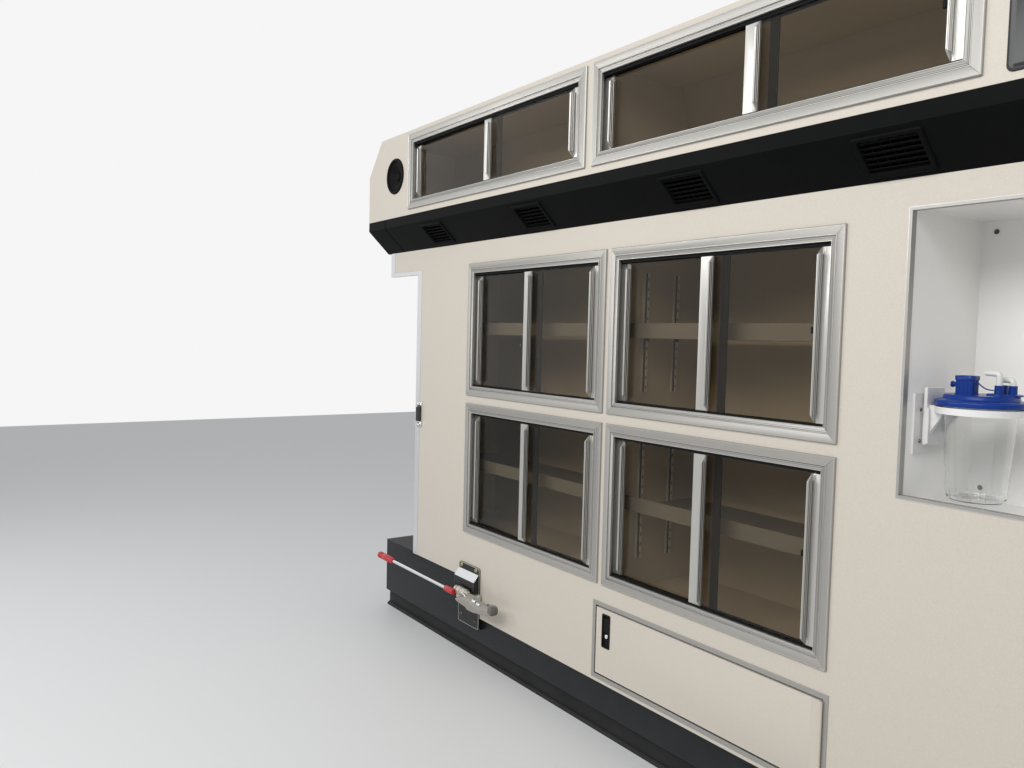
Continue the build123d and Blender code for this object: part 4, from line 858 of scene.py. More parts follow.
speaker = {
    "along": 223.5, "height": 1727.0, "outer": 67.0, "proud": 5.4, "coneEdge": 52.0, "surround": 8.0,
    "coneDeep": 12.5, "rings": 5, "cap": 17.0,
    "can": ((60.0, -0.5), (57.0, -0.5), (57.0, -16.0), (34.0, -38.0), (32.0, -40.5), (2.0, -40.5)),
}


def makeSpeaker():
    place = facingAisle(speaker["along"], overheadFace, speaker["height"])
    outer, proud, edge, cap = (speaker[k] for k in ("outer", "proud", "coneEdge", "cap"))
    cone, deep = edge - speaker["surround"], speaker["coneDeep"]
    profile = [
        (outer, 0.0), (outer - 0.6, proud * 0.5), (outer - 2.5, proud * 0.9), (outer - 5, proud),
        (outer - 9, proud * 0.95), (outer - 11.5, proud * 0.6), (outer - 12.5, 0.5), (outer - 13, -1.0),
        (edge, -1.0), (edge - 2.5, 1.4), (edge - 5.5, 1.6), (cone, -1.0),
    ]
    for i in range(speaker["rings"]):
        part = (i + 1) / speaker["rings"]
        profile.append((cone - (cone - cap) * (part - 0.1), -1.0 - deep * (part - 0.1)))
        profile.append((cone - (cone - cap) * part, -0.6 - deep * part))
    profile += [(cap, -12.5), (cap * 0.9, -9.5), (cap * 0.6, -7.0), (cap * 0.25, -6.0), (1.0, -5.8)]
    shape = bmesh.new()
    stackLoops(shape, circleLoops(profile, 64), place, False, True)
    stackLoops(shape, circleLoops(speaker["can"], 48), place, False, True)
    addPiece("speakerBody", shape, "speakerBlack", "speaker_plastic", replaced=("speaker",), smooth=50)


makeSpeaker()

# Dark switch panel at the forward end, with two rows of hollowed keys

switchPanel = {
    "along": 2558.0, "height": 1719.0, "width": 300.0, "tall": 266.0, "corner": 12.0, "proud": 2.9,
    "neck": (32.0, -8.0), "rows": 2, "columns": 4, "pitch": (56.0, 62.0), "keysUp": 30.0,
    "key": (36.0, 44.0), "keyHollow": (29.0, 18.0),
}


def makeSwitchPanel():
    shape = bmesh.new()
    place = facingAisle(switchPanel["along"], overheadFace, switchPanel["height"])
    width, tall, corner, proud = (switchPanel[k] for k in ("width", "tall", "corner", "proud"))
    neck, neckDeep = switchPanel["neck"]
    stackLoops(shape, roundedLoops(width, tall, (
        (neck, neck, corner, neckDeep), (neck, neck, corner, 0.1), (0, 0, corner, 0.1),
        (0, 0, corner, proud * 0.6), (2, 2, corner - 1, proud * 0.95), (5, 5, corner - 2, proud),
        (16, 16, corner - 4, proud), (19, 19, corner - 5, proud - 1.0),
    )), place)
    across, up = switchPanel["pitch"]
    for row in range(switchPanel["rows"]):
        for column in range(switchPanel["columns"]):
            x = (column - (switchPanel["columns"] - 1) / 2) * across
            y = ((switchPanel["rows"] - 1) / 2 - row) * up + switchPanel["keysUp"]
            key = roundedLoops(*switchPanel["key"], (
                (0, 0, 4, proud - 1.0), (0, 0, 4, proud - 0.2), (3, 3, 3, proud),
            ), (x, y))
            key.append(roundedLoop(*switchPanel["keyHollow"], 2, proud - 0.6, (x, y)))
            stackLoops(shape, key, place, False, True)
    addPiece("switchPanelFront", shape, "panelDark", "panel_plastic", replaced=("control_panel",))


makeSwitchPanel()
print("overhead fittings made")

# Suction canister: clear jar with small feet inside, lid with tower, ribs, ports and tether, hose elbows

canister = {
    "along": 2306.0, "depth": 108.0, "rim": 1017.0, "height": 179.0, "top": 65.0, "base": 52.0, "wall": 1.8,
    "feet": 12, "footInset": 4.5, "footHeight": 9.0, "footSize": (1.2, 1.2, 11.0),
}
lid = {
    "base": 1019.6, "radius": 81.0, "tier": 66.0, "tower": (-22.0, -12.0), "towerSize": (37.0, 34.0),
    "towerSteps": (
        (0, 22.0), (0, 24.0), (1.5, 25.0), (1.5, 50.0), (0, 50.6),
        (0, 57.5), (0.8, 58.8), (3.5, 58.9), (4.5, 57.0), (5.5, 44.0),
    ),
    "ribs": 3, "ribSize": (1.4, 1.4, 25.0), "ribHeight": 37.5, "ribSink": 1.4, "ribMargin": 14.0,
    "ports": ((34.0, -6.0), (50.0, 14.0), (28.0, 26.0)),
    "port": ((11.0, 22.5), (10.5, 25.0), (8.0, 26.0), (7.6, 40.0), (7.8, 42.4), (6.4, 42.8), (5.4, 42.6)),
    "plinth": (58.0, 44.0), "plinthPlace": (38.0, 10.0),
    "spout": ((5.0, 0), (5.0, 10), (6.0, 10.5), (6.0, 14)), "spoutHeight": 41.0, "spoutSink": 3.0,
    "tether": ((-5.0, -10.0, 48.0), (24.0, -4.0, 33.0)), "tetherSag": 5.0, "tetherRadius": 1.3,
}
# The first two ports carry elbows, each with its own rise
elbow = {"rises": (26.0, 14.0), "foot": 39.0, "bend": 6.0, "reach": 25.0, "radius": 5.8, "mouth": 4.6}


def makeCanister():
    place = facingUp(canister["along"], canister["depth"], 0)
    rim, tall, top, base, wall = (canister[k] for k in ("rim", "height", "top", "base", "wall"))
    floor = rim - tall
    middle = base + (top - base) * 0.5
    profile = (
        (2.0, floor + 4.0), (base - 14, floor + 3.2), (base - 8, floor + 0.4), (base - 3, floor + 0.2),
        (base - 0.8, floor + 1.6), (base, floor + 5), (base + 0.35, floor + 10), (middle, floor + tall * 0.5),
        (top - 0.6, rim - 9), (top, rim - 6), (top, rim + 0.4), (top + 3.4, rim + 0.6),
        (top + 3.4, rim + 1.9), (top - wall, rim + 1.9), (top - wall, rim - 6), (top - wall - 0.6, rim - 9),
        (middle - wall, floor + tall * 0.5), (base + 0.3 - wall, floor + 10), (base - wall, floor + 6),
        (base - 4, floor + 2.4), (base - 9, floor + 2.6), (base - 14, floor + 5.2), (2.0, floor + 6.0),
    )
    jar = bmesh.new()
    stackLoops(jar, circleLoops(profile, 72), place)
    addPiece("canisterJar", jar, "clearPlastic", "clear_plastic", replaced=("canister",), smooth=60)
    feet = []
    reach = base - canister["footInset"]
    for i in range(canister["feet"]):
        angle = 2 * math.pi * (i + 0.5) / canister["feet"]
        height = floor + canister["footHeight"]
        feet.append(spotOn(place, math.cos(angle) * reach, math.sin(angle) * reach, height))
    growBars("canisterFeet", feet, canister["footSize"], "clearPlastic", "clear_plastic")


def makeElbows():
    shape = bmesh.new()
    bend = elbow["bend"]
    for (x, y), rise in zip(lid["ports"], elbow["rises"]):
        foot = wallPoint(canister["along"] + x, canister["depth"] + y, lid["base"] + elbow["foot"])
        path = [foot]
        for step in range(7):
            angle = math.pi / 2 * step / 6
            out, up = bend * (1 - math.cos(angle)), bend * math.sin(angle)
            path.append(foot + Vector((-out, 0, rise - bend + up)) / 1000)
        path.append(foot + Vector((-elbow["reach"], 0, rise)) / 1000)
        tubeAlong(shape, path, [elbow["radius"]] * (len(path) - 1) + [elbow["mouth"]], 20)
    addPiece("hoseElbows", shape, "milkPlastic", "clear_plastic", smooth=50)


def makeLid():
    place = facingUp(canister["along"], canister["depth"], lid["base"])
    radius, tier = lid["radius"], lid["tier"]
    shape = bmesh.new()
    stackLoops(shape, circleLoops((
        (2.0, 0.1), (radius - 3, 0.1), (radius - 0.8, 0.3), (radius, 1.5), (radius, 8.5), (radius - 1, 10.5),
        (radius - 3.5, 11.8), (tier + 5, 13.2), (tier + 1.5, 14.2), (tier, 16.5), (tier - 0.6, 20.5),
        (tier - 2.5, 22.6), (tier * 0.6, 23.0), (tier * 0.35, 23.0), (2.0, 23.0),
    ), 72), place)
    tx, ty = lid["tower"]
    wide, deep = lid["towerSize"]
    tower = [(2 * inset, 2 * inset, 8 - inset * 0.8, level) for inset, level in lid["towerSteps"]]
    stackLoops(shape, roundedLoops(wide, deep, tower, lid["tower"]), place, False, True)
    for port in lid["ports"]:
        stackLoops(shape, circleLoops(lid["port"], 28, port), place, False, True)
    plinth = ((0, 0, 14, 22.5), (0, 0, 14, 25.5), (3, 3, 13, 26.5))
    stackLoops(shape, roundedLoops(*lid["plinth"], plinth, lid["plinthPlace"]), place, False, True)
    along, depth, height = canister["along"] + tx, canister["depth"] + ty, lid["base"] + lid["spoutHeight"]
    side = placeAt(along, depth, height, (0, 0, 1), (0, 1, 0))
    side.translation = spotOn(side, 0, 0, wide / 2 - lid["spoutSink"])
    stackLoops(shape, circleLoops(lid["spout"], 16), side, False, True)
    addPiece("canisterLid", shape, "bluePlastic", "blue_plastic", replaced=("canister_lid",), smooth=40)
    ribs = []
    sink, margin, height = lid["ribSink"], lid["ribMargin"], lid["ribHeight"]
    for step in range(lid["ribs"]):
        across = (step + 0.5) / lid["ribs"] - 0.5
        for sign in (-1, 1):
            ribs.append(spotOn(place, tx + across * (wide - margin), ty + sign * (deep / 2 - sink), height))
            ribs.append(spotOn(place, tx + sign * (wide / 2 - sink), ty + across * (deep - margin), height))
    growBars("towerRibs", ribs, lid["ribSize"], "bluePlastic", "blue_plastic", edge=0.3)


def makeTether():
    place = facingUp(canister["along"], canister["depth"], lid["base"])
    start, end = (Vector(point) for point in lid["tether"])
    path = []
    for step in range(13):
        point = start.lerp(end, step / 12)
        point.z -= lid["tetherSag"] * math.sin(math.pi * step / 12)
        path.append(place @ (point / 1000))
    shape = bmesh.new()
    tubeAlong(shape, path, lid["tetherRadius"], 8)
    addPiece("lidTether", shape, "bluePlastic", "blue_plastic")


makeCanister()
makeElbows()
makeLid()
makeTether()

# Lining of the bay's mouth and the sliding back of the canister bracket
bay = {
    "x": (2211.0, 2634.0), "z": (840.0, 1394.0), "mouth": 14.0, "sheet": 1.0, "flange": 4.6, "front": 2.4,
    "backDepth": (61.0, 128.0), "backHeight": (937.0, 1052.0), "backFace": 2220.0, "backThick": 6.0,
    "beadDepth": 65.0, "beadHeights": (941.0, 967.0, 990.0, 1012.0), "beadRadii": [4.0, 4.0, 4.0, 2.8],
}


def makeBayFittings():
    lining = bmesh.new()
    (x0, x1), (z0, z1) = bay["x"], bay["z"]
    sheet, outer, front, mouth = bay["sheet"], bay["flange"] * 2, bay["front"], -bay["mouth"]
    stackLoops(lining, squareLoops(x1 - x0, z1 - z0, (
        (0, mouth), (0, front - sheet), (outer, front - sheet), (outer, front - 0.3), (outer - 0.6, front),
        (-2 * sheet, front), (-2 * sheet, mouth), (0, mouth),
    )), facingAisle((x0 + x1) / 2, 0, (z0 + z1) / 2), False, False)
    addPiece("bayLining", lining, "satinAluminium", "satin_aluminium")
    back = bmesh.new()
    (d0, d1), (h0, h1) = bay["backDepth"], bay["backHeight"]
    thick = bay["backThick"]
    stackLoops(back, roundedLoops(d1 - d0, h1 - h0, (
        (0, 0, 3, -0.2), (0, 0, 3, thick - 1), (2, 2, 2.4, thick),
    )), placeAt(bay["backFace"], (d0 + d1) / 2, (h0 + h1) / 2, (0, 1, 0), (0, 0, 1)))
    path = [wallPoint(bay["backFace"] + thick, bay["beadDepth"], height) for height in bay["beadHeights"]]
    tubeAlong(back, path, bay["beadRadii"], 16)
    addPiece("bracketBack", back, "bracketWhite", "white_enamel", edge=0.3)


makeBayFittings()
print("canister made")

# Cot fastener: plate with packing behind it, clear of the panel's stepped edge

plate = {
    "x": (604.0, 736.0), "z": (116.0, 331.0), "sheet": 5.0, "corner": 9.0,
    "packing": 15.0, "packStep": 699.5, "packTops": (276.5, 156.5), "packCorner": 2.0,
}


def makePlate():
    shape = bmesh.new()
    (x0, x1), (z0, z1) = plate["x"], plate["z"]
    sheet, corner = plate["sheet"], plate["corner"]
    place = facingAisle((x0 + x1) / 2, 0, (z0 + z1) / 2)
    stackLoops(shape, roundedLoops(x1 - x0, z1 - z0, (
        (0, 0, corner, 0.0), (0, 0, corner, sheet - 0.8), (1.6, 1.6, corner - 0.8, sheet),
    )), place)
    for left, right, top in zip((x0, plate["packStep"]), (plate["packStep"], x1), plate["packTops"]):
        stackLoops(shape, roundedLoops(right - left, top - z0, (
            (0, 0, plate["packCorner"], 0.2 - plate["packing"]), (0, 0, plate["packCorner"], 0.0),
        )), facingAisle((left + right) / 2, 0, (z0 + top) / 2))
    addPiece("clampPlate", shape, "plateSteel", "plate_steel", replaced=("clamp_plate",))
    # painted highlight: a bright band along the plate's chamfered edge stands for the light it reflects
    rim = bmesh.new()
    stackLoops(rim, roundedLoops(x1 - x0, z1 - z0, (
        (0.2, 0.2, 8.9, sheet - 1.6), (0.2, 0.2, 8.9, sheet - 0.3), (1.4, 1.4, 8.3, sheet + 0.3),
        (4.6, 4.6, 6.7, sheet + 0.3), (5.2, 5.2, 6.4, sheet - 0.2),
    )), place, False, False)
    addPiece("plateRimHighlight", rim, "satinAluminium", "plate_steel")


makePlate()

# Bent sheet hood over the arm's root: a bright chrome sloping top over a front and two cheeks painted in dark
# plate steel as shade and dark reflection on the same chrome
hood = {"x": (607.0, 733.0), "top": 309.0, "low": 246.0, "reach": 26.0, "bend": 285.0, "sheet": 2.5}


def makeHood():
    sheet, bend, top, low = (hood[k] for k in ("sheet", "bend", "top", "low"))
    x0, x1 = hood["x"]
    base, front = -plate["sheet"], -hood["reach"]
    fold = (front + 0.6, bend - 0.5)
    inside = (front + sheet + 0.4, bend - 3.5)
    cheek = (
        (base, low), (base, top - 1), (base - 2, top - 1.5), (front + 2.4, bend + 2), fold,
        (front, bend - 4), (front, low),
    )
    apron = (
        (front, low), (front, bend - 4), fold, inside, (front + sheet, bend - 6), (front + sheet, low),
    )
    roof = ((base, top), (base - 2.5, top), (front + 1.6, bend + 3.4), fold, inside, (base, top - 5))
    body = bmesh.new()
    for points, ends in (
        (cheek, (x0, x0 + sheet)), (cheek, (x1 - sheet, x1)), (apron, (x0 + sheet, x1 - sheet)),
    ):
        stackRings(body, [[wallPoint(x, d, h) for d, h in points] for x in ends])
    # painted shade: the chrome hood's front and cheeks take the dark plate steel
    addPiece("hoodShadedSides", body, "plateSteel", "bright_steel", replaced=("clamp_hood",), edge=0.4)
    cover = bmesh.new()
    stackRings(cover, [[wallPoint(x, d, h) for d, h in roof] for x in (x0, x1)])
    addPiece("hoodRoof", cover, "brightChrome", "bright_steel", edge=0.4)


makeHood()

# Cast arm: its outline seen from the aisle, low edge then top edge; the top slopes down towards the aisle
arm = {
    "depths": (-75.0, -44.0), "slope": 15.0, "slopeShare": 0.45, "slopeFoot": 214.0,
    "low": (
        (690, 228), (703, 221), (735, 218), (758, 216), (768, 210),
        (800, 210), (854, 217), (890, 226), (905, 231),
    ),
    "top": (
        (908, 258), (888, 259), (864, 254), (840, 249), (815, 248),
        (796, 252), (776, 258), (752, 258), (722, 251), (697, 242),
    ),
    "tip": (902.0, 242.0), "tipSize": (32.0, 28.0), "tipLong": 20.0, "tipCorner": 9.0,
}


def makeArm():
    front, back = arm["depths"]
    outline = arm["low"] + arm["top"]
    rings = []
    for depth, inset in ((back, 4.0), (back - 2, 1.2), (back - 6, 0.0), (front + 2.5, 0.0), (front, 2.0)):
        share = (back - depth) / (back - front)
        ring = []
        for i, (x, z) in enumerate(outline):
            if i >= len(arm["low"]):
                z -= min(arm["slope"], arm["slopeShare"] * (z - arm["slopeFoot"])) * share
            before, after = Vector(outline[i - 1]), Vector(outline[(i + 1) % len(outline)])
            along = (after - before).normalized()
            ring.append(wallPoint(x - along.y * inset, depth, z + along.x * inset))
        rings.append(ring)
    shape = bmesh.new()
    stackRings(shape, rings)
    addPiece("clampArm", shape, "castArm", "cast_arm", replaced=("clamp_arm",), edge=0.6, smooth=28)


makeArm()

# Cast boss on the plate, with a rounded drum along the arm and a brass crescent above it
pivot = {
    "x": (645.0, 748.0), "z": (206.0, 243.0),
    "steps": ((0, 0, 6, -0.2), (0, 0, 10, 14), (10, 6, 12, 30), (16, 10, 12, 40)),
    "drumPlace": (648.0, -43.0, 247.0),
    "drum": (
        (9, 0), (13, 2), (13, 12), (9, 13), (9, 19), (15, 20), (15, 38),
        (11, 40), (11, 46), (14, 47), (14, 66), (10, 68), (10, 78), (7, 80),
    ),
    "crescent": (718.0, -60.0, 236.0), "crescentAxes": (24.0, -4.0, 18.0), "crescentRadius": 3.6,
}
# Right and up of a piece that faces forward along the wall
alongWall = ((0, 1, 0), (0, 0, 1))


def makePivot():
    (x0, x1), (z0, z1) = pivot["x"], pivot["z"]
    shape = bmesh.new()
    boss = facingAisle((x0 + x1) / 2, -plate["sheet"], (z0 + z1) / 2)
    stackLoops(shape, roundedLoops(x1 - x0, z1 - z0, pivot["steps"]), boss)
    stackLoops(shape, circleLoops(pivot["drum"], 32), placeAt(*pivot["drumPlace"], *alongWall))
    addPiece("clampPivot", shape, "brassCasting", "cast_arm", smooth=50)
    (x, depth, z), (wide, deep, tall) = pivot["crescent"], pivot["crescentAxes"]
    path = []
    for step in range(15):
        angle = math.pi * (0.80 - 0.75 * step / 14)
        rise = math.sin(angle)
        path.append(wallPoint(x + wide * math.cos(angle), depth + deep * rise, z + tall * rise))
    crescent = bmesh.new()
    tubeAlong(crescent, path, pivot["crescentRadius"], 16)
    addPiece("pivotSpring", crescent, "brassCasting", "cast_arm", smooth=60)


makePivot()

# Bolts in the hollow of the arm (place, height and radius), the arm's rounded end, painted dark grey as shade
# and wear on its end face, and its pad
armFittings = {
    "bolts": ((791.0, 243.0, 7.5), (815.0, 240.0, 6.0)), "boltDepth": -62.0, "boltLong": 13.0,
    "nutBack": 3.0, "nutDepth": -60.0, "nutGrow": 2.0, "nutThick": 6.0,
    "pad": (868.0, -55.0, 249.0), "padSteps": ((5, -4), (5, 3), (4, 5), (1.5, 5.4)),
}


def makeArmFittings():
    bolts = bmesh.new()
    long, thick = armFittings["boltLong"], armFittings["nutThick"]
    for x, z, radius in armFittings["bolts"]:
        profile = ((radius, 0), (radius, long), (radius - 1.5, long + 1.5), (2, long + 1.6))
        stackLoops(bolts, circleLoops(profile, 24), placeAt(x, armFittings["boltDepth"], z, *alongWall))
        nut = placeAt(x - armFittings["nutBack"], armFittings["nutDepth"], z, *alongWall)
        flats = radius + armFittings["nutGrow"]
        stackLoops(bolts, circleLoops(((flats, 0), (flats, thick)), 6), nut)
    addPiece("armBolts", bolts, "brightChrome", "bright_steel", edge=0.4)
    # painted shade with some wear: the arm's end block is dark grey for its shaded end face
    tips = bmesh.new()
    half, corner = arm["tipLong"] / 2, arm["tipCorner"]
    face = placeAt(arm["tip"][0], sum(arm["depths"]) / 2, arm["tip"][1], *alongWall)
    stackLoops(tips, roundedLoops(*arm["tipSize"], (
        (5, 5, corner, -half), (1, 1, corner, 2 - half), (0, 0, corner, 5 - half),
        (0, 0, corner, half - 5), (1, 1, corner, half - 2), (5, 5, corner, half),
    )), face)
    stackLoops(tips, circleLoops(armFittings["padSteps"], 20), facingUp(*armFittings["pad"]))
    addPiece("armShadedEndAndPad", tips, "shadedEndAndPadGrey", "strap_rubber", smooth=60)


makeArmFittings()

# Release rod and its two red grips: place along the wall and radius
rod = {
    "depth": -60.0, "height": 240.0, "profile": ((90.0, 5.8), (658.0, 5.8)),
    "grips": (
        ((86, 7.5), (87, 11), (90, 13), (100, 13), (104, 11), (108, 13), (112, 11), (116, 13),
         (120, 11), (124, 13), (180, 13), (184, 11), (198, 11), (202, 9.4), (203, 6.2)),
        ((604, 6.2), (605, 9.0), (608, 10.8), (652, 10.8), (655, 10.0), (660, 9.6), (661, 6.2)),
    ),
}


def turnAlongRod(shape, profile):
    path = [wallPoint(x, rod["depth"], rod["height"]) for x, radius in profile]
    tubeAlong(shape, path, [radius for x, radius in profile], 28)


def makeRod():
    bar = bmesh.new()
    turnAlongRod(bar, rod["profile"])
    addPiece("releaseRod", bar, "brightChrome", "bright_steel", replaced=("release_rod",))
    grips = bmesh.new()
    for profile in rod["grips"]:
        turnAlongRod(grips, profile)
    addPiece("rodGrips", grips, "redGrip", "red_plastic", replaced=("rod_grips",), smooth=50)


makeRod()
print("cot fastener made")

# Rubber draw latch on the panel's rear edge: two holders with wire hooks, the strap, its ribs and beads

drawLatch = {
    "along": 288.0, "low": 777.0, "high": 873.0, "width": 28.0, "proud": 15.8, "back": 1.6, "bracket": 22.0,
    "hookWide": 9.0, "hookRadius": 2.2, "hookRise": 4.0, "hookLean": 1.5,
    "ribs": 9, "ribSize": (17.0, 4.0, 3.2), "ribShift": 1.0, "ribSink": 3.0,
    "beadSize": (4.2, 4.2, 7.0), "beadInset": 3.2, "beadSink": 5.0,
}


def makeHolder(shape, start, end, sign):
    # a stepped plate, a round post on it, and a wire hook bent over the plate
    along, width, proud, back = (drawLatch[k] for k in ("along", "width", "proud", "back"))
    middle, tall, reach = (start + end) / 2, end - start, drawLatch["hookWide"]
    place = facingAisle(along, 0, middle)
    stackLoops(shape, roundedLoops(width + 6, tall, (
        (0, 0, 2, back), (0, 0, 2, back + 2.2), (1, 1, 2, back + 2.9),
    )), place)
    path = [wallPoint(along - reach, -back - 2, middle)]
    for step in range(9):
        angle = math.pi * step / 8
        depth = 4 - proud - drawLatch["hookLean"] * math.sin(angle)
        height = middle + sign * drawLatch["hookRise"] * math.sin(angle)
        path.append(wallPoint(along - reach * math.cos(angle), depth, height))
    path.append(wallPoint(along + reach, -back - 2, middle))
    tubeAlong(shape, path, drawLatch["hookRadius"], 10)
    post = ((6.5, back), (6.5, proud - 5), (5.5, proud - 3.5), (2, proud - 3.2))
    stackLoops(shape, circleLoops(post, 20), place, False, True)


def makeDrawLatch():
    along, low, high, width, proud, back = (
        drawLatch[k] for k in ("along", "low", "high", "width", "proud", "back")
    )
    strapLow, strapHigh = low + drawLatch["bracket"], high - drawLatch["bracket"] * 0.8
    holders = bmesh.new()
    makeHolder(holders, low, strapLow, -1)
    makeHolder(holders, strapHigh, high, 1)
    addPiece("latchHolders", holders, "brightChrome", "bright_steel", replaced=("strap_brackets",), smooth=50)
    strap = bmesh.new()
    tall = strapHigh - strapLow
    stackLoops(strap, roundedLoops(width - 6, tall, (
        (0, 0, 4, back), (0, 0, 5, proud - 5), (4, 2, 5, proud - 2.5),
    )), facingAisle(along, 0, (strapLow + strapHigh) / 2))
    addPiece("latchStrap", strap, "strapRubber", "strap_rubber", replaced=("draw_strap",))
    ribs, beads = [], []
    for i in range(drawLatch["ribs"]):
        height = strapLow + 2 + (tall - 4) * (i + 0.5) / drawLatch["ribs"]
        ribs.append(wallPoint(along + drawLatch["ribShift"], drawLatch["ribSink"] - proud, height))
        if i % 2 == 0:
            rear = along - width / 2 + drawLatch["beadInset"]
            beads.append(wallPoint(rear, drawLatch["beadSink"] - proud, height))
    growBars("latchRibs", ribs, drawLatch["ribSize"], "strapRubber", "strap_rubber", edge=0.8)
    growBars("latchBeads", beads, drawLatch["beadSize"], "brightChrome", "bright_steel", edge=1.4)


makeDrawLatch()

# Slam latch of the low locker door: a dished plate with a paddle and a key barrel

slamLatch = {
    "along": 1383.5, "height": 312.5, "width": 33.0, "tall": 96.0, "proud": 2.5, "face": -2.0,
    "paddle": (0.0, 16.0), "paddleShare": 0.42, "keyDrop": 15.0, "keyDeep": 4.4,
    "key": ((6.0, 0), (6.0, 3.4), (5.4, 4.2), (3.8, 4.3), (3.4, 3.4), (1.5, 3.2)),
}


def makeSlamLatch():
    shape = bmesh.new()
    along, height, width, tall, proud, face = (
        slamLatch[k] for k in ("along", "height", "width", "tall", "proud", "face")
    )
    place = facingAisle(along, face, height)
    stackLoops(shape, roundedLoops(width, tall, (
        (7, 9, 3, -12.0), (7, 9, 3, 0.1), (0, 0, 4, 0.1), (0, 0, 4, proud - 0.6), (1.4, 1.4, 3.4, proud),
        (7, 8, 3, proud), (8.5, 9.5, 2.5, proud - 0.8), (9, 10, 2.5, -4.5),
    )), place)
    stackLoops(shape, roundedLoops(width - 11, tall * slamLatch["paddleShare"], (
        (0, 0, 2.5, -4.5), (0, 0, 2.5, -1.0), (2, 3, 2, 0.2),
    ), slamLatch["paddle"]), place, False, True)
    replaced = ("locker_latch",)
    addPiece("slamLatch", shape, "blackTrack", "black_plastic", body="locker_leaf", replaced=replaced)
    key = bmesh.new()
    spot = facingAisle(along, face + slamLatch["keyDeep"], height - slamLatch["keyDrop"])
    stackLoops(key, circleLoops(slamLatch["key"], 28), spot, False, True)
    addPiece("keyBarrel", key, "brightChrome", "bright_steel", body="locker_leaf")


makeSlamLatch()

# Each window frame: rear edge, low edge, width, height, depth of its face
windowSet = {
    "lower_rear": (624.0, 440.0, 716.0, 457.0, 0.0), "lower_front": (1358.0, 440.0, 716.0, 457.0, 0.0),
    "upper_rear": (624.0, 924.0, 716.0, 457.0, 0.0), "upper_front": (1358.0, 924.0, 716.0, 457.0, 0.0),
    "overhead_rear": (333.0, 1591.0, 1005.0, 271.0, overheadFace),
    "overhead_front": (1366.0, 1591.0, 1005.0, 271.0, overheadFace),
}
# Small black thumb latch behind each forward pull
thumbLatch = {"width": 8.0, "tall": 15.0, "proud": 6.0, "fromEdge": 72.5, "behind": 6.0, "share": 0.52}


def makeThumbLatches():
    proud = thumbLatch["proud"]
    for name, (along, low, width, tall, face) in windowSet.items():
        shape = bmesh.new()
        x = along + width - thumbLatch["fromEdge"]
        place = facingAisle(x, face + thumbLatch["behind"], low + tall * thumbLatch["share"])
        stackLoops(shape, roundedLoops(thumbLatch["width"], thumbLatch["tall"], (
            (0, 0, 2, 0.0), (0, 0, 2, proud - 1), (2, 2, 2, proud),
        )), place)
        sash = name + "_outer_sash"
        addPiece(name + "ThumbLatch", shape, "blackTrack", "black_plastic", body=sash, edge=0.4)


makeThumbLatches()

# Finger ridges on the pulls, near-black strips between them as painted shade in the hollows, and the bar
# along each pull's flat; levels are counted from the pull's flat towards the aisle
ridges = {
    "wrap": 2.3, "flat": 35.0, "fin": 3.5, "reach": 18.0,
    "size": (2.4, 3.4), "levels": (3.6, 9.2, 14.6), "endCut": 15.0,
    "hollow": (0.8, 1.1), "hollowLevels": (0.9, 6.4, 11.9),
    "flatBar": (5.0, 2.2), "flatPlace": 5.5, "flatCut": 2.0,
}
# Each line round a frame: distance from its outer edge, level, width, height; the beads, in the brighter pull
# aluminium, are painted highlights along the frame's steps, and the near-black grooves are painted shade
frameLines = {
    "beads": ((1.6, 6.5, 1.2, 0.5), (19.4, 6.5, 1.8, 0.9), (31.6, 4.0, 2.0, 1.1)),
    "grooves": ((22.4, 4.0, 0.9, 0.12), (26.0, 4.0, 0.6, 0.12)),
}


def makePullRidges():
    root = (ridges["wrap"] + ridges["flat"]) / 1000
    fin, flatPlace, reach = ridges["fin"] / 1000, ridges["flatPlace"] / 1000, ridges["reach"]
    for name in windowSet:
        for kind in ("inner", "outer"):
            low, high = (Vector(corner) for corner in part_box(name + "_" + kind + "_pull"))
            middle, tall = (low.z + high.z) / 2, (high.z - low.z) * 1000
            length, barLong = tall - 2 * ridges["endCut"], tall - 2 * ridges["flatCut"]
            edges, flats = [low.x + root + fin], [low.x + root - flatPlace]
            if kind == "outer":
                edges.append(high.x - root)
                flats.append(high.x - root + flatPlace)
            # the Hollows are near-black strips, painted shade between the ridges
            for label, places, size, levels, material, edge in (
                ("Ridges", edges, (*ridges["size"], length), ridges["levels"], "pullAluminium", 0.9),
                ("Hollows", edges, (*ridges["hollow"], length), ridges["hollowLevels"], "recessShade", 0.0),
                ("FlatBars", flats, (*ridges["flatBar"], barLong), (0.0,), "pullAluminium", 0.8),
            ):
                points = [(x, low.y + (reach - level) / 1000, middle) for x in places for level in levels]
                growBars(
                    name + kind.title() + label, points, size, material, "satin_aluminium",
                    body=name + "_" + kind + "_sash", edge=edge,
                )


def makeFrameLines():
    # beads in the brighter pull aluminium are painted highlights, grooves in near-black are painted shade
    for kind, material in (("beads", "pullAluminium"), ("grooves", "recessShade")):
        shape = bmesh.new()
        for along, low, width, tall, face in windowSet.values():
            place = facingAisle(along + width / 2, face, low + tall / 2)
            for inset, level, wide, high in frameLines[kind]:
                slant = 2 * min(wide * 0.3, high)
                outer, inner, foot, top = -2 * inset, -2 * inset - 2 * wide, level - 0.3, level + high
                stackLoops(shape, squareLoops(width, tall, (
                    (outer, foot), (outer, level), (outer - slant, top), (inner + slant, top),
                    (inner, level), (inner, foot), (outer, foot),
                )), place, False, False)
        addPiece("frame" + kind.title(), shape, material, "satin_aluminium")


makePullRidges()
makeFrameLines()
print("pulls and frames finished")

# Screws and bolts, each point as place along, depth and height

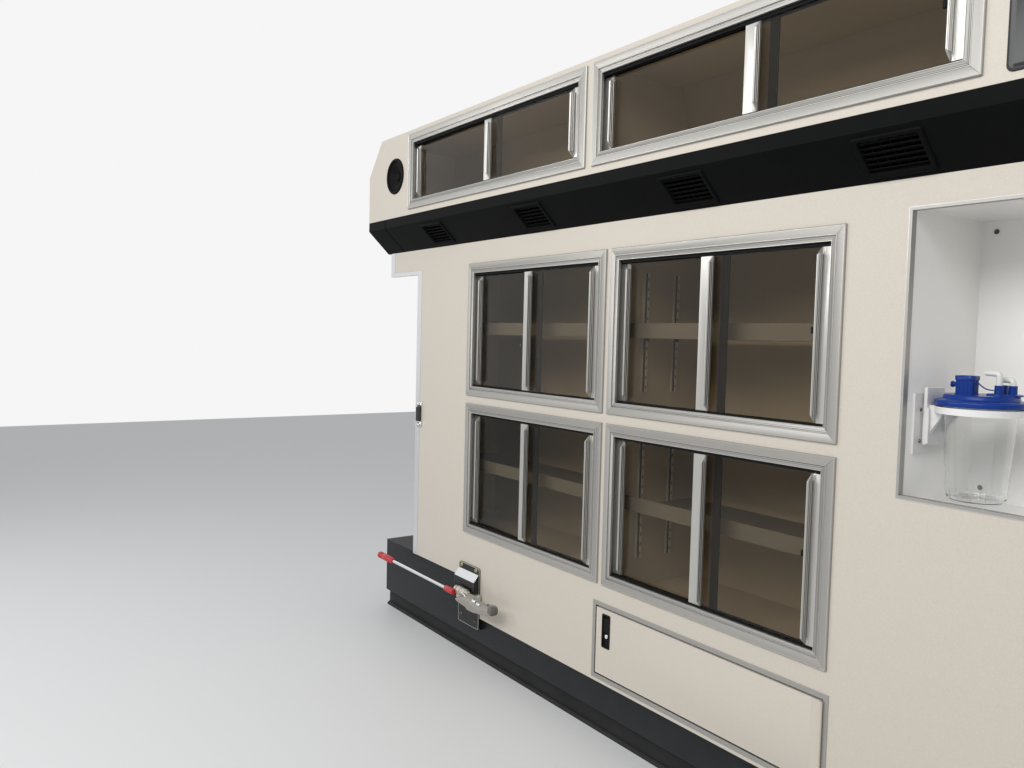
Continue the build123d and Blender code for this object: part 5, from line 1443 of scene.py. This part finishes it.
jamb = {"inset": 19.0, "depth": 15.0, "fromEnd": 50.0}
screwSets = {
    "jambScrews": {
        "radius": 2.8, "height": 0.8, "facing": (1, 0, 0), "finish": "plateSteel",
        "points": [
            (along + jamb["inset"], face + jamb["depth"], height)
            for along, low, width, tall, face in windowSet.values()
            for height in (low + jamb["fromEnd"], low + tall - jamb["fromEnd"])
        ],
    },
    "baySideScrews": {
        "radius": 4.2, "height": 2.2, "facing": (1, 0, 0), "finish": "plateSteel",
        "points": [(2220, 50, 1008), (2220, 50, 946)],
    },
    "bayBackScrews": {
        "radius": 5.5, "height": 2.6, "facing": (0, -1, 0), "finish": "plateSteel",
        "points": [(2240, 274.8, 1375), (2236, 274.8, 836), (2606, 274.8, 1375), (2606, 274.8, 836)],
    },
    "plateTopBolts": {
        "radius": 7.5, "height": 4.5, "facing": (0, -1, 0), "finish": "zincYellow",
        "points": [(621, -5, 321), (715, -5, 321)],
    },
    "plateLowBolts": {
        "radius": 7.5, "height": 3.5, "facing": (0, -1, 0), "finish": "plateSteel",
        "points": [(621, -5, 142), (715, -5, 142)],
    },
}


def makeScrews():
    for name, look in screwSets.items():
        points = [wallPoint(*point) for point in look["points"]]
        growOnPoints(name, points, screwTree, {
            "Head Radius": look["radius"] / 1000, "Head Height": look["height"] / 1000,
            "Facing": look["facing"], "Seed": screwForm["seed"],
        }, look["finish"], "plate_steel")


makeScrews()

# Black felt on the forward edge of each inner pane
felt = {"width": 22.0, "front": 0.55, "gap": 0.1, "endCut": 12.0}
# Slots, channels, bright strips and clips of the shelf standards; the slots and channels are near-black as
# painted
# shade and the strips a brighter steel as painted highlight. The standards stand in pairs on the cabinets'
# sides:
# those on the left look forward, those on the right look to the rear
standards = {
    "left": (275.0, 1360.5), "right": (1337.5, 2088.0), "sheet": 4.0, "depths": (136.0, 257.0),
    "bases": (498.5, 982.5), "length": 340.0, "shelves": (653.0, 1137.0), "endCut": 1.0, "markSink": 0.1,
    "slot": (1.0, 3.4, 9.0), "slotPitch": 28.0, "clip": (7.0, 12.0, 9.0), "clipPlace": (3.4, -5.0),
    "channel": (0.8, 7.0), "channelShift": -4.4, "strip": (1.2, 8.6), "stripShift": 3.5, "stripSink": 0.4,
}


def makeFeltStrips():
    for name in windowSet:
        corners = [v.co for v in cadNodes[name + "_inner_pane"].data.vertices]
        right, near = max(v.x for v in corners), min(v.y for v in corners)
        low, high = min(v.z for v in corners), max(v.z for v in corners)
        depth = near - (felt["gap"] + felt["front"] / 2) / 1000
        points = [(right - felt["width"] / 2000, depth, (low + high) / 2)]
        size = (felt["width"], felt["front"], (high - low) * 1000 - 2 * felt["endCut"])
        sash = name + "_inner_sash"
        growBars(name + "Felt", points, size, "blackTrack", "black_plastic", body=sash, edge=0.8)


def makeStandardMarks():
    slots, clips, channels, strips = [], [], [], []
    length, pitch = standards["length"], standards["slotPitch"]
    clipOut, clipRise = standards["clipPlace"]
    uprights = [
        (x + sign * standards["sheet"], sign, depth)
        for sides, sign in ((standards["left"], 1), (standards["right"], -1))
        for x in sides for depth in standards["depths"]
    ]
    for face, sign, depth in uprights:
        mark = face - sign * standards["markSink"]
        middle = depth + standards["stripShift"]
        for base, shelf in zip(standards["bases"], standards["shelves"]):
            for step in range(int(length // pitch)):
                slots.append(wallPoint(mark, middle, base + (step + 0.5) * pitch))
            clips.append(wallPoint(face + sign * clipOut, depth, shelf + clipRise))
            channels.append(wallPoint(mark, depth + standards["channelShift"], base + length / 2))
            strips.append(wallPoint(face - sign * standards["stripSink"], middle, base + length / 2))
    tall = length - 2 * standards["endCut"]
    # the near-black channels and slots are painted shade, the bright steel strips a painted highlight
    for name, points, size, material in (
        ("standardSlots", slots, standards["slot"], "recessShade"),
        ("shelfClips", clips, standards["clip"], "blackTrack"),
        ("standardShadeChannels", channels, (*standards["channel"], tall), "recessShade"),
        ("standardHighlightStrips", strips, (*standards["strip"], tall), "highlightSteel"),
    ):
        growBars(name, points, size, material, "black_plastic", edge=0.2)


makeFeltStrips()
makeStandardMarks()
print("small fittings made")

# Floor, light and camera

studio = {
    "floor": (0.80, 0.80, 0.79), "floorRough": 0.6, "floorSize": 9.0,
    "world": (0.86, 0.89, 0.94), "worldLight": 0.47,
    "backdrop": (0.92, 0.92, 0.92), "aim": (0.1, -0.1, 0.95),
    "lamps": {
        "keyLight": ((1.1, -3.2, 3.0), (3.0, 1.4), 88.0),
        "fillLight": ((-2.2, -3.3, 2.12), (2.4, 0.36), 28.0),
    },
}


def makeFloor():
    mesh = bpy.data.meshes.new("studioFloor")
    size = studio["floorSize"]
    corners = [(-size, -size, 0), (size, -size, 0), (size, size, 0), (-size, size, 0)]
    mesh.from_pydata(corners, [], [(0, 1, 2, 3)])
    material, shader = newMaterial("paleFloor")
    shader.inputs["Base Color"].default_value = opaque(studio["floor"])
    shader.inputs["Roughness"].default_value = studio["floorRough"]
    mesh.materials.append(material)
    addObject("studioFloor", mesh)


def makeWorld():
    # the surroundings light the wall bluish, while the camera and panes see a plain backdrop
    world = bpy.data.worlds.new("studioWorld")
    bpy.context.scene.world = world
    world.use_nodes = True
    tree = world.node_tree
    tree.nodes.clear()
    out = tree.nodes.new("ShaderNodeOutputWorld")
    lit = addNode(tree, "ShaderNodeBackground", Color=opaque(studio["world"]), Strength=studio["worldLight"])
    seen = addNode(tree, "ShaderNodeBackground", Color=opaque(studio["backdrop"]), Strength=1.0)
    path = tree.nodes.new("ShaderNodeLightPath")
    either = mathNode(tree, "MAXIMUM", path.outputs["Is Camera Ray"], path.outputs["Is Transmission Ray"])
    seenRay = mathNode(tree, "MAXIMUM", either, path.outputs["Is Glossy Ray"])
    mixed = tree.nodes.new("ShaderNodeMixShader")
    link(
        tree,
        (seenRay, mixed.inputs[0]), (lit.outputs[0], mixed.inputs[1]), (seen.outputs[0], mixed.inputs[2]),
        (mixed.outputs[0], out.inputs["Surface"]),
    )


def makeLamps():
    # each lamp: place, size, power
    for name, (place, extent, power) in studio["lamps"].items():
        lamp = bpy.data.lights.new(name, "AREA")
        lamp.shape = "RECTANGLE"
        lamp.size, lamp.size_y = extent
        lamp.energy = power
        holder = addObject(name, lamp)
        holder.location = place
        holder.rotation_euler = (Vector(studio["aim"]) - Vector(place)).to_track_quat("-Z", "Y").to_euler()


# Worked out from the photo's straight edges: place in metres and the three directions of its view
camera = {
    "place": (1.7064, -1.689, 1.1315), "lens": 29.11,
    "right": (0.57708912, 0.81631149, 0.02457043), "down": (0.06057229, -0.01277981, -0.998082),
    "ahead": (-0.81443179, 0.57747055, -0.05682095),
}


def makeCamera():
    lens = bpy.data.cameras.new("photoCamera")
    lens.sensor_width = 36.0
    lens.lens = camera["lens"]
    lens.clip_start = 0.02
    up, back = [-v for v in camera["down"]], [-v for v in camera["ahead"]]
    turned = Matrix((camera["right"], up, back)).transposed().to_4x4()
    turned.translation = camera["place"]
    holder = addObject("photoCamera", lens)
    holder.matrix_world = turned
    bpy.context.scene.camera = holder


makeFloor()
makeWorld()
makeLamps()
makeCamera()
bpy.context.scene.view_settings.view_transform = "Standard"
print("studio ready")
